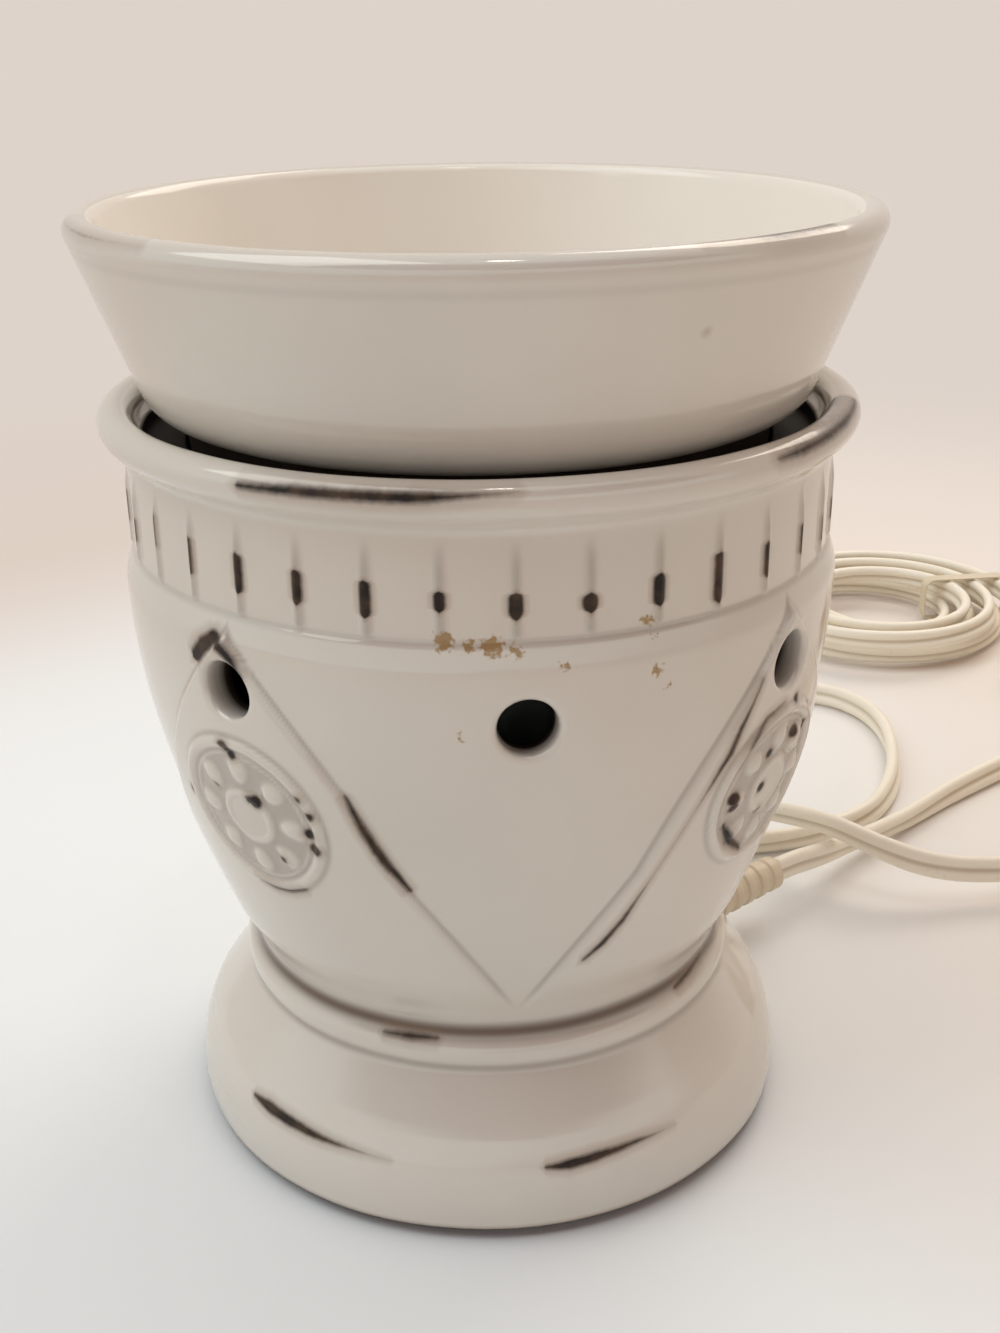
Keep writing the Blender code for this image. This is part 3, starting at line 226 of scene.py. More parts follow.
ROUTE_BACK = [
    (0.1165, 0.0361, 0.0074), (0.1050, 0.0363, 0.0077), (0.0955, 0.0372, 0.0096), (0.0875, 0.0405, 0.0120),
    (0.0788, 0.0482, 0.0139), (0.0705, 0.0585, 0.0122), (0.0640, 0.0690, 0.0088), (0.0588, 0.0805, 0.0054),
    (0.0563, 0.0930, 0.0034), (0.0575, 0.1060), (0.0630, 0.1190), (0.0730, 0.1310),
    (0.0860, 0.1395), (0.0985, 0.1425), (0.1085, 0.1385), (0.1143, 0.1290),
    (0.1156, 0.1170), (0.1130, 0.1020), (0.1079, 0.0880), (0.1000, 0.0757),
    (0.0910, 0.0684), (0.0800, 0.0640), (0.0680, 0.0620), (0.0540, 0.0630),
    (0.0410, 0.0680), (0.0312, 0.0770), (0.0262, 0.0900), (0.0263, 0.1040),
    (0.0290, 0.1185), (0.0336, 0.1325), (0.0396, 0.1460), (0.0468, 0.1590),
    (0.0550, 0.1715), (0.0640, 0.1835), (0.0738, 0.1950), (0.0838, 0.2060),
    (0.0938, 0.2165), (0.1038, 0.2267, 0.0030), (0.1154, 0.2345, 0.0034),
]

# Plug and bulb
PLUG_TAIL_RADIUS = 0.0042
PLUG_POINTS = 64
SLOT_CLEARANCE = 0.0005
SHARP_SLOT = math.radians(50)
SHARP_EDGE = math.radians(40)
BULB_NECK = 0.0074
BULB_WALL = 0.0008
BULB_FLARE = 0.034
CAP_HOLE = 0.0048
CAP_WALL = 0.0008
THREAD_PITCH = 0.0036
THREAD_DEPTH = 0.00022

# Worn glaze: how sharp each line is, with its (degrees from the front, height, half width) points
BODY_WEAR = [
    (0.55, [(-38.0, 0.1206, 0.0004), (-28.8, 0.1209, 0.0007), (-13.4, 0.1210, 0.0007),
            (-1.2, 0.1216, -0.0003)]),
    (0.45, [(36.6, 0.1212, 0.0001), (42.0, 0.1213, 0.0006), (52.8, 0.1217, 0.0006),
            (70.3, 0.1221, 0.0003)]),
    (0.7, [(-56.7, 0.0134, 0.0003), (-52.1, 0.0134, 0.0009), (-45.4, 0.0132, 0.0008), (-38.2, 0.0130, 0.0005),
           (-31.8, 0.0130, 0.0001), (-24.0, 0.0128, -0.0005)]),
    (0.7, [(3.8, 0.0126, 0.0003), (7.9, 0.0125, 0.0008), (13.5, 0.0128, 0.0007), (21.6, 0.0131, 0.0003),
           (30.0, 0.0130, -0.0004)]),
    (0.6, [(-29.4, 0.0296, 0.0002), (-23.4, 0.0298, 0.0005), (-17.1, 0.0300, 0.0002)]),
    (0.6, [(41.3, 0.0300, 0.0002), (48.0, 0.0306, 0.0004), (54.5, 0.0313, 0.0002)]),
    (0.6, [(-51.5, 0.0937, 0.0011), (-49.6, 0.0956, 0.0012), (-47.3, 0.0973, 0.0010), (-45.3, 0.0966, 0.0008),
           (-43.3, 0.0952, 0.0007), (-41.3, 0.0929, 0.0002)]),
    (0.7, [(-26.6, 0.0773, 0.0002), (-24.6, 0.0725, 0.0005), (-21.8, 0.0669, 0.0006),
           (-18.4, 0.0616, 0.0004)]),
    (0.65, [(37.6, 0.0895, 0.0000), (33.8, 0.0828, 0.0005), (32.4, 0.0792, 0.0006), (30.9, 0.0771, 0.0004),
            (27.2, 0.0709, -0.0002), (22.0, 0.0611, -0.0002)]),
    (0.65, [(22.0, 0.0611, -0.0002), (18.0, 0.0532, 0.0005), (15.0, 0.0491, 0.0006), (11.8, 0.0461, 0.0003)]),
    (0.65, [(-48.2, 0.0570, 0.0004), (-44.8, 0.0566, 0.0006), (-40.9, 0.0570, 0.0004),
            (-37.2, 0.0584, 0.0002)]),
    (0.65, [(35.0, 0.0658, 0.0005), (37.8, 0.0622, 0.0008), (42.5, 0.0589, 0.0005)]),
    (0.6, [(34.9, 0.0761, 0.0000), (36.7, 0.0796, 0.0002), (39.9, 0.0826, 0.0002), (44.7, 0.0836, 0.0000)]),
]

# Worn spots on the medallions: degrees from the front, height, radius
SPOTS = [
    (-46.5, 0.0813, 0.0010), (-45.5, 0.0801, 0.0008), (-34.0, 0.0758, 0.0006), (-32.4, 0.0733, 0.0007),
    (-33.2, 0.0699, 0.0009), (-32.7, 0.0673, 0.0010), (-42.5, 0.0730, 0.0011), (-43.7, 0.0731, 0.0007),
    (-39.6, 0.0637, 0.0007), (-60.5, 0.0688, 0.0008), (-51.1, 0.0735, 0.0005), (48.2, 0.0830, 0.0007),
    (42.9, 0.0756, 0.0008), (49.8, 0.0769, 0.0011), (54.0, 0.0765, 0.0007), (42.6, 0.0700, 0.0009),
    (43.9, 0.0653, 0.0006), (35.3, 0.0706, 0.0011), (35.6, 0.0690, 0.0009), (50.5, 0.0578, 0.0007),
]

# Worn crests of the front ribs: bottom, top, half width
RIB_WEAR = {
    -6: (0.1063, 0.1111, 0.0002), -5: (0.1048, 0.1101, 0.0004), -4: (0.1042, 0.1099, 0.0008),
    -3: (0.1044, 0.1092, 0.0008), -2: (0.1037, 0.1089, 0.0008), -1: (0.1050, 0.1079, 0.0008),
    0: (0.1039, 0.1076, 0.0010), 1: (0.1041, 0.1068, 0.0011), 2: (0.1037, 0.1082, 0.0009),
    3: (0.1022, 0.1094, 0.0008), 4: (0.1035, 0.1086, 0.0006), 5: (0.1042, 0.1087, 0.0004),
    6: (0.1032, 0.1072, 0.0003),
}

# Wax stains: degrees from the front, height, radius
STAINS = [
    (-11.4, 0.1011, 0.0013), (-7.8, 0.1005, 0.0008), (-4.8, 0.1003, 0.0013), (-1.8, 0.0997, 0.0008),
    (17.5, 0.1018, 0.0008), (18.2, 0.0997, 0.0004), (5.1, 0.0975, 0.0005), (18.2, 0.0954, 0.0008),
    (19.9, 0.0926, 0.0004), (-9.3, 0.0881, 0.0005),
]

# The dish's worn rim and its one speck
DISH_WEAR = [
    (0.6, [(-81.0, 0.1492, -0.0003), (-66.0, 0.1490, -0.0001), (-50.0, 0.1492, -0.0005)]),
    (0.6, [(21.0, 0.1503, -0.0002), (33.0, 0.1503, 0.0005), (46.0, 0.1502, 0.0003)]),
]
DISH_SPOTS = [(23.4, 0.1391, 0.0)]

# Extent of the wear, and how high the painted contact shadow reaches at the foot's bottom edge
Z_FOOT_SHADOW = 0.0021
PETAL_WEAR = 0.0080
WEAR_REACH = 0.0030
HALO = 0.0012
FAR = 0.01


def smoothstep(low, high, x):
    t = np.clip((x - low) / (high - low), 0, 1)
    return t * t * (3 - 2 * t)


def ridge(distance, half):
    """1 on a line, falling in a round curve to 0 at half its width."""
    return 0.5 + 0.5 * np.cos(np.pi * np.clip(np.abs(distance) / half, 0, 1))


def wrapped(angle, period):
    """The signed distance from an angle to the nearest multiple of a period."""
    return (angle + period / 2) % period - period / 2


def arc(centre, radii, start, end, steps):
    angles = np.radians(np.linspace(start, end, steps))
    return np.stack([centre[0] + radii[0] * np.cos(angles), centre[1] + radii[1] * np.sin(angles)], 1)


def rounded(corners):
    """A line through (radius, height, reach) corners, each rounded over its reach to both sides."""
    points = [corners[0][:2]]
    for before, corner, after in zip(corners, corners[1:], corners[2:]):
        middle = np.array(corner[:2])
        into = np.array(before[:2]) - middle
        out = np.array(after[:2]) - middle
        start = middle + into / np.linalg.norm(into) * corner[2]
        end = middle + out / np.linalg.norm(out) * corner[2]
        for t in np.linspace(0, 1, 7):
            points.append(start * (1 - t) ** 2 + 2 * middle * t * (1 - t) + end * t**2)
    points.append(corners[-1][:2])
    return np.array(points)


def walked_along(points):
    steps = np.linalg.norm(np.diff(points, axis=0), axis=1)
    return np.concatenate([[0], np.cumsum(steps)])


def evenly(points, spacing):
    walked = walked_along(points)
    keep = np.concatenate([[True], np.diff(walked) > 1e-9])
    wanted = np.linspace(0, walked[-1], max(2, round(walked[-1] / spacing)) + 1)
    return np.stack([np.interp(wanted, walked[keep], points[keep, i]) for i in range(points.shape[1])], 1)


def smooth_route(points):
    """Points on a smooth curve through the given ones, with the first and last runs left straight."""
    known = np.array(points, float)
    fine = [known[0]]
    for before, start, end, after in zip(known, known[1:], known[2:], known[3:]):
        for t in np.arange(0, 1, 0.05):
            pull = (end - before) * t + (2 * before - 5 * start + 4 * end - after) * t**2
            fine.append(start + 0.5 * (pull + (3 * start - before - 3 * end + after) * t**3))
    return np.array([*fine, known[-2], known[-1]])


# Shader building: a helper that is given a socket works in that socket's tree
def node(tree, kind, inputs, **settings):
    """A shader node with its settings, and with each input linked or set."""
    made = tree.nodes.new(f"ShaderNode{kind}")
    for name, value in settings.items():
        setattr(made, name, value)
    for name, value in inputs.items():
        if isinstance(value, bpy.types.NodeSocket):
            tree.links.new(value, made.inputs[name])
        elif made.inputs[name].type == "RGBA":
            made.inputs[name].default_value = (*value, 1.0)
        else:
            made.inputs[name].default_value = value
    return made


def mixed(factor, first, second):
    inputs = {0: factor, 6: first, 7: second}
    return node(factor.id_data, "Mix", inputs, data_type="RGBA").outputs[2]


def ranged(value, low, high, to_low=0.0, to_high=1.0):
    inputs = {"Value": value, "From Min": low, "From Max": high, "To Min": to_low, "To Max": to_high}
    return node(value.id_data, "MapRange", inputs, interpolation_type="SMOOTHSTEP").outputs["Result"]


def figured(operation, first, second):
    return node(first.id_data, "Math", {0: first, 1: second}, operation=operation).outputs[0]


def times(first, second):
    return figured("MULTIPLY", first, second)


def larger(first, second):
    return figured("MAXIMUM", first, second)


def between(value, low, high, soft):
    """1 between two values, with a soft step to 0 at each."""
    return times(ranged(value, low - soft, low + soft), ranged(value, high - soft, high + soft, 1.0, 0.0))


def attribute(tree, name):
    return node(tree, "Attribute", {}, attribute_name=name).outputs["Fac"]


def noise(tree, per_metre, detail=2.0, stretch=(1, 1, 1)):
    """Noise that stays with the object, with so many swells to a metre."""
    place = node(tree, "TexCoord", {}).outputs["Object"]
    scaled = node(tree, "Mapping", {"Vector": place, "Scale": stretch}).outputs["Vector"]
    return node(tree, "TexNoise", {"Vector": scaled, "Scale": per_metre, "Detail": detail}).outputs[0]


def swing(tree, per_metre, size):
    """Noise to both sides of 0."""
    return times(figured("SUBTRACT", noise(tree, per_metre, 3), 0.5), size)


def bumped(height, strength, distance):
    inputs = {"Height": height, "Strength": strength, "Distance": distance}
    return node(height.id_data, "Bump", inputs).outputs["Normal"]


def new_material(name, constants):
    material = bpy.data.materials.new(name)
    material.use_nodes = True
    tree = material.node_tree
    shader = tree.nodes["Principled BSDF"]
    for socket, value in constants.items():
        shader.inputs[socket].default_value = value
    return material, tree, shader.inputs


def wire(shader, values):
    """Links values to the shader's inputs of those names."""
    for name, value in values.items():
        value.id_data.links.new(value, shader[name])


def glazed_ceramic():
    """White lustrous glaze, brown where it is worn off, with painted grey-brown shade in recesses and
    creases; paler and creamier inside the dish and the mouth, partly the glaze's own creamy tint and partly
    painted light from above; and an unglazed inside painted nearly black as shade.
    """
    material, tree, shader = new_material("worn_white_glaze", {"IOR": 1.5, "Specular IOR Level": 0.35})
    grain = noise(tree, 1500, 4)
    aside = figured("ABSOLUTE", attribute(tree, "across"), 0.0)
    in_line = figured("SUBTRACT", attribute(tree, "half"), aside)
    depth = figured("ADD", larger(in_line, attribute(tree, "spot")), swing(tree, 900, 0.00022))
    worn = ranged(depth, -0.00030, 0.00030)
    halo = ranged(depth, -HALO, 0.0, 0.0, 0.35)
    white = mixed(noise(tree, 55, 3), (0.72, 0.68, 0.615), (0.67, 0.625, 0.56))
    # painted light, partly real tint: paler and creamier inside the dish and the mouth
    cream = attribute(tree, "cream")
    # painted shade: grey-brown darkening in recesses and creases, under the dish's bead and just above the
    # foot
    pool = attribute(tree, "pool")
    bare = attribute(tree, "bare")
    creamed = mixed(cream, white, (0.88, 0.83, 0.75))
    pooled = mixed(pool, creamed, (0.15, 0.105, 0.075))
    spilt = figured("ADD", attribute(tree, "stain"), swing(tree, 1300, 0.0035))
    stained = mixed(ranged(spilt, -0.0003, 0.0005, 0.0, 0.85), pooled, (0.34, 0.20, 0.06))
    thin = mixed(halo, stained, (0.26, 0.16, 0.09))
    mottle = ranged(noise(tree, 240, 2), 0.35, 0.65)
    brown = mixed(mottle, (0.008, 0.003, 0.001), (0.065, 0.036, 0.018))
    # painted shade: the unglazed inside, the vent walls and the dish's foot are coloured nearly black to
    # stand for the shade inside
    shaded_clay = mixed(grain, (0.018, 0.011, 0.007), (0.034, 0.021, 0.014))
    dull = larger(larger(worn, bare), times(larger(cream, pool), 0.85))
    rough = larger(times(worn, 0.45), ranged(grain, 0.3, 0.7, 0.08, 0.12))
    orange_peel = times(noise(tree, 300, 2), 0.20)
    wire(shader, {
        "Base Color": mixed(bare, mixed(worn, thin, brown), shaded_clay),
        "Metallic": ranged(dull, 0.0, 1.0, LUSTRE, 0.0),
        "Roughness": larger(rough, times(bare, 0.75)),
        "Normal": bumped(figured("SUBTRACT", orange_peel, times(worn, 0.5)), 0.25, 0.0002),
    })
    return material


def moulded(name, dark, light, roughness, grain_height=0.10):
    """Moulded plastic or rubber: two close tones in soft clouds, and a fine grain."""
    material, tree, shader = new_material(name, {"IOR": 1.46})
    grain = noise(tree, 2600, 3)
    wire(shader, {
        "Base Color": mixed(noise(tree, 90, 3), dark, light),
        "Roughness": ranged(grain, 0.3, 0.7, roughness - 0.06, roughness + 0.06),
        "Normal": bumped(grain, grain_height, 0.0001),
    })
    return material


def metal(name, dark, light, roughness):
    """Drawn or plated metal: fine streaks in one direction, and dull patches."""
    material, tree, shader = new_material(name, {"Metallic": 1.0})
    streaks = noise(tree, 900, 4, (1, 1, 0.12))
    wire(shader, {
        "Base Color": mixed(noise(tree, 160, 3), dark, light),
        "Roughness": ranged(streaks, 0.25, 0.75, roughness - 0.08, roughness + 0.10),
        "Normal": bumped(streaks, 0.08, 0.0001),
    })
    return material


def cord_vinyl():
    """Aged vinyl of a creamy tone, with painted shade in the groove between its cores, and dulled by
    handling.
    """
    material, tree, shader = new_material("cream_vinyl", {"IOR": 1.5})
    dust = noise(tree, 900, 4)
    aged = mixed(noise(tree, 70, 3), (0.88, 0.80, 0.65), (0.93, 0.88, 0.77))
    # painted shade: darker in the groove between the two cores
    groove = ranged(attribute(tree, "groove"), 0.35, 1.0, 0.0, 0.55)
    shaded = mixed(groove, aged, (0.48, 0.38, 0.24))
    wire(shader, {
        "Base Color": mixed(ranged(dust, 0.62, 0.80, 0.0, 0.35), shaded, (0.56, 0.47, 0.34)),
        "Roughness": ranged(dust, 0.3, 0.7, 0.34, 0.48),
        "Normal": bumped(dust, 0.12, 0.0001),
    })
    return material


def frosted_glass():
    material, tree, shader = new_material("frosted_glass", {"IOR": 1.5, "Transmission Weight": 0.35})
    mist = noise(tree, 1800, 2)
    wire(shader, {
        "Base Color": mixed(mist, (0.93, 0.93, 0.91), (0.86, 0.86, 0.84)),
        "Roughness": ranged(mist, 0.3, 0.7, 0.30, 0.46),
    })
    return material


# Pieces
def placed(name, data):
    """A new object in the scene."""
    made = bpy.data.objects.new(name, data)
    bpy.context.scene.collection.objects.link(made)
    return made


def mesh_of(shape, name):
    """A mesh made from a bmesh, which is then freed."""
    mesh = bpy.data.meshes.new(name)
    shape.to_mesh(mesh)
    shape.free()
    return mesh


def apply_modifiers(made):
    bpy.context.view_layer.update()
    graph = bpy.context.evaluated_depsgraph_get()
    made.data = bpy.data.meshes.new_from_object(made.evaluated_get(graph))
    made.modifiers.clear()


def piece(name, vertices, faces, body, finish, attributes=None):
    """A closed mesh that rides on a body of the frame."""
    mesh = bpy.data.meshes.new(name)
    mesh.from_pydata([tuple(v) for v in vertices], [], [tuple(f) for f in faces])
    for key, values in (attributes or {}).items():
        mesh.attributes.new(key, "FLOAT", "POINT").data.foreach_set("value", np.asarray(values, np.float32))
    shape = bmesh.new()
    shape.from_mesh(mesh)
    bmesh.ops.recalc_face_normals(shape, faces=shape.faces)
    shape.to_mesh(mesh)
    shape.free()
    mesh.polygons.foreach_set("use_smooth", [True] * len(mesh.polygons))
    mesh.materials.append(finish)
    made = placed(name, mesh)
    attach(made, body)
    return made


def strip(first, second):
    """Quads between two closed rings of vertex numbers."""
    count = len(first)
    return [(first[k], first[(k + 1) % count], second[(k + 1) % count], second[k]) for k in range(count)]


def lofted(rings):
    """Vertices and faces of a tube through rings of points, closed at both ends."""
    count = len(rings[0])
    vertices = [point for ring in rings for point in ring]
    numbers = [list(range(i * count, (i + 1) * count)) for i in range(len(rings))]
    faces = [numbers[0], numbers[-1]]
    for first, second in zip(numbers, numbers[1:]):
        faces += strip(first, second)
    return vertices, faces


def turned(profile, steps):
    """Vertices and faces of a solid of revolution; a profile that starts off the axis closes on itself."""
    angles = np.arange(steps) * math.tau / steps
    vertices = []
    numbers = []
    for radius, height in profile:
        if radius < 1e-7:
            numbers.append([len(vertices)] * steps)
            vertices.append((0, 0, height))
            continue
        numbers.append(list(range(len(vertices), len(vertices) + steps)))
        ring = np.stack([radius * np.sin(angles), -radius * np.cos(angles), np.full(steps, height)], 1)
        vertices += list(ring)
    pairs = list(zip(numbers, numbers[1:]))
    if profile[0][0] > 1e-7:
        pairs.append((numbers[-1], numbers[0]))
    faces = [list(dict.fromkeys(quad)) for first, second in pairs for quad in strip(first, second)]
    return vertices, faces


def softened(name, width, finish):
    """A copy of a CAD node with its edges rounded, which stands for it."""
    source = nodes[name]
    shape = bmesh.new()
    shape.from_mesh(source.data)
    bmesh.ops.remove_doubles(shape, verts=shape.verts, dist=1e-6)
    bmesh.ops.dissolve_limit(shape, angle_limit=math.radians(1), verts=shape.verts, edges=shape.edges)
    made = placed(f"{name}_soft", mesh_of(shape, f"{name}_soft"))
    bevel = made.modifiers.new("edges", "BEVEL")
    bevel.width = width
    bevel.segments = 3
    bevel.limit_method = "ANGLE"
    bevel.angle_limit = SHARP_EDGE
    apply_modifiers(made)
    made.data.polygons.foreach_set("use_smooth", [True] * len(made.data.polygons))
    made.data.set_sharp_from_angle(angle=SHARP_EDGE)
    made.data.materials.clear()
    made.data.materials.append(finish)
    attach(made, source["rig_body"])
    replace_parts(made, name)
    return made


def make_camera():
    data = bpy.data.cameras.new("camera")
    data.lens = CAMERA_LENS
    data.clip_start = 0.01
    level_view = Matrix.Rotation(-CAMERA_HEADING, 4, "Z") @ Matrix.Rotation(math.pi / 2, 4, "X")
    tilted = level_view @ Matrix.Rotation(-CAMERA_PITCH, 4, "X") @ Matrix.Rotation(CAMERA_ROLL, 4, "Z")
    camera = placed("camera", data)
    camera.matrix_world = Matrix.Translation(CAMERA_PLACE) @ tilted
    bpy.context.scene.camera = camera


def area_light(name, place, aim, size, power, tint):
    data = bpy.data.lights.new(name, "AREA")
    data.size = size
    data.energy = power
    data.color = tint
    light = placed(name, data)
    light.location = place
    light.rotation_euler = (Vector(aim) - Vector(place)).to_track_quat("-Z", "Y").to_euler()


def make_floor():
    """A pale floor with painted warm light on its right side, which takes the backdrop's tone further off."""
    material, tree, shader = new_material("pale_floor", {"Specular IOR Level": 0.2})
    place = node(tree, "TexCoord", {}).outputs["Object"]
    away = node(tree, "VectorMath", {0: place}, operation="LENGTH").outputs["Value"]
    split = node(tree, "SeparateXYZ", {0: place}).outputs
    faint = noise(tree, 9, 4)
    white = mixed(faint, (0.87, 0.90, 0.91), (0.84, 0.87, 0.88))
    far = ranged(away, *FLOOR_FADE)
    behind = mixed(far, white, BACKDROP)
    # painted light: the floor turns warmer to the right, where warm light falls
    warm_lit = mixed(ranged(split["X"], *FLOOR_WARM_LIGHT), behind, (0.84, 0.77, 0.71))
    tree.links.new(warm_lit, shader["Base Color"])
    tree.links.new(ranged(faint, 0.3, 0.7, 0.42, 0.55), shader["Roughness"])
    rays = node(tree, "LightPath", {}).outputs
    mirrored = times(rays["Is Glossy Ray"], ranged(split["Y"], -0.1, 0.1))
    through = figured("ADD", rays["Is Camera Ray"], rays["Is Transmission Ray"])
    seen = figured("ADD", through, mirrored)
    share = times(ranged(away, *FLOOR_GLOW), seen)
    glow = node(tree, "Emission", {"Color": BACKDROP}).outputs[0]
    lit = tree.nodes["Principled BSDF"].outputs[0]
    blended = node(tree, "MixShader", {0: share, 1: lit, 2: glow}).outputs[0]
    tree.links.new(blended, tree.nodes["Material Output"].inputs["Surface"])
    shape = bmesh.new()
    bmesh.ops.create_circle(shape, cap_ends=True, segments=96, radius=FLOOR_RADIUS)
    floor = placed("floor", mesh_of(shape, "floor"))
    floor.location.z = -FLOOR_DROP
    floor.data.materials.append(material)


def make_lights():
    """A large soft light high on the left, a weaker one behind, and a small one overhead."""
    middle = (0, 0, 0.07)
    area_light("key", (-0.50, -0.10, 0.85), middle, 0.70, 2.7, (0.90, 0.97, 1.0))
    area_light("behind", (0.45, 0.50, 0.70), (0.12, 0.10, 0), 0.50, 2.4, (1.0, 0.93, 0.84))
    area_light("overhead", (0.05, -0.25, 1.30), middle, 0.10, 0.4, (1.0, 0.98, 0.95))


def make_surroundings():
    """Soft tones all round: a cool and a beige side, pale above, a pale and a brown patch in front."""
    world = bpy.data.worlds.new("surroundings")
    world.use_nodes = True
    bpy.context.scene.world = world
    tree = world.node_tree
    split = node(tree, "SeparateXYZ", {0: node(tree, "TexCoord", {}).outputs["Generated"]}).outputs
    sides = mixed(ranged(split["X"], -0.24, -0.02), COOL_SIDE, WARM_SIDE)
    around = mixed(ranged(split["Y"], 0.0, 0.5), sides, BACKDROP)
    tones = mixed(ranged(split["Z"], 0.80, 0.95), around, ABOVE)
    in_front = ranged(split["Y"], -0.34, -0.22, 1.0, 0.0)
    for low, high, tone in ((0.14, 0.44, PALE_PATCH), (0.48, 0.87, BROWN_PATCH)):
        patch = times(between(split["Z"], low, high, 0.06), in_front)
        tones = mixed(patch, tones, tone)
    camera_ray = node(tree, "LightPath", {}).outputs["Is Camera Ray"]
    tree.links.new(mixed(camera_ray, tones, BACKDROP), tree.nodes["Background"].inputs["Color"])
    bpy.context.scene.view_settings.view_transform = "Standard"


def cord_outline():
    """The cord's section, its width along the first axis: two round cores and the web between them."""
    lobe = np.radians(np.linspace(-140, 140, 11))
    reach = CORD_WIDTH / 2 - CORE_RADIUS
    one = np.stack([reach + CORE_RADIUS * np.cos(lobe), CORE_RADIUS * np.sin(lobe)], 1)
    return np.array([*one, (0, CORE_WEB), *(-one), (0, -CORE_WEB)])


def flat_cord(name, path, finish, phase):
    """The two-core cord along a path, standing on its edge and leaning slowly to and fro."""
    outline = cord_outline()
    tangent = np.gradient(path, axis=0)
    tangent /= np.linalg.norm(tangent, axis=1)[:, None]
    side = np.cross(tangent, (0, 0, 1))
    side /= np.linalg.norm(side, axis=1)[:, None]
    up = np.cross(side, tangent)
    walked = walked_along(path)
    fade = np.clip(np.minimum(walked, walked[-1] - walked) / 0.03, 0, 1)
    lean = LEAN * fade * np.sin(math.tau * walked / LEAN_PERIOD + phase)
    wide = up * np.cos(lean)[:, None] + side * np.sin(lean)[:, None]
    thin = side * np.cos(lean)[:, None] - up * np.sin(lean)[:, None]
    rings = path[:, None] + wide[:, None] * outline[:, :1] + thin[:, None] * outline[:, 1:]
    vertices, faces = lofted(rings)
    # how far into the groove between the cores each point lies, for the painted shade there
    groove = 1 - np.clip(np.abs(outline[:, 0]) / (CORD_WIDTH / 4), 0, 1)
    attributes = {"groove": np.tile(groove, len(path))}
    return piece(name, vertices, faces, "body", finish, attributes=attributes)


def coil_path():
    """The put-away length: it spirals in on the floor, climbs, and spirals out on top, nearer the front."""
    turns = np.arange(round(COIL_TURNS * LOOP_POINTS) + 1) / LOOP_POINTS
    angle = np.pi / 2 - math.tau * turns
    radius = COIL_RADIUS - COIL_PITCH * np.minimum(turns, COIL_TURNS - turns)
    climbed = smoothstep(-0.5, 0.5, (turns - COIL_TURNS / 2) * 2)
    x = COIL_CENTRE[0] + radius * np.cos(angle)
    y = COIL_CENTRE[1] + radius * np.sin(angle) - COIL_SHIFT * climbed
    round_part = np.stack([x, y, Z_COIL + COIL_LAYER * climbed], 1)
    tail = round_part[-1] - np.array([0, 1, 0]) * np.linspace(0, COIL_TAIL, 20)[1:, None]
    return np.concatenate([round_part, tail])


def with_heights(route):
    """Route points, at the height of a cord that lies on the floor where no height is given."""
    return [(x, y, *(height or (Z_LYING,))) for x, y, *height in route]


def make_cords(finish):
    """The cord's two lengths, each with its path: from the body to the switch, and on to the plug."""
    away = np.array([math.cos(CORD_EXIT_TURN), math.sin(CORD_EXIT_TURN), 0])
    start = away * CORD_START + np.array([0, 0, Z_CORD])
    axis = np.array([math.cos(SWITCH_TURN), math.sin(SWITCH_TURN), 0])
    middle = np.array(SWITCH_PLACE)
    far_end = middle + axis * SWITCH_REACH
    near_end = middle - axis * SWITCH_REACH
    into_switch = far_end + axis * STRAIGHT
    out = smooth_route([start, start + away * STRAIGHT, *with_heights(ROUTE_OUT), into_switch, far_end])
    out = evenly(out, CORD_POINT_SPACING)
    coil = coil_path()
    into_coil = coil[0] - np.array([2 * STRAIGHT, 0, 0])
    from_switch = near_end - axis * STRAIGHT
    back = smooth_route([near_end, from_switch, *with_heights(ROUTE_BACK), into_coil, coil[0]])
    back = evenly(np.concatenate([back, coil[1:]]), CORD_POINT_SPACING)
    to_switch = flat_cord("cord_to_switch", out, finish, 0.0)
    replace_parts(to_switch, "power_cord_out")
    to_plug = flat_cord("cord_to_plug", back, finish, 1.0)
    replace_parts(to_plug, "power_cord_back", "power_cord_coil")
    return (to_switch, out), (to_plug, back)


# Glazed body
def bowl_radius(height):
    share = (height - Z_WAIST) / BOWL_HEIGHT
    return WAIST_RADIUS + (BELLY_RADIUS - WAIST_RADIUS) * np.sin(np.pi / 2 * np.clip(share, 0, 1))


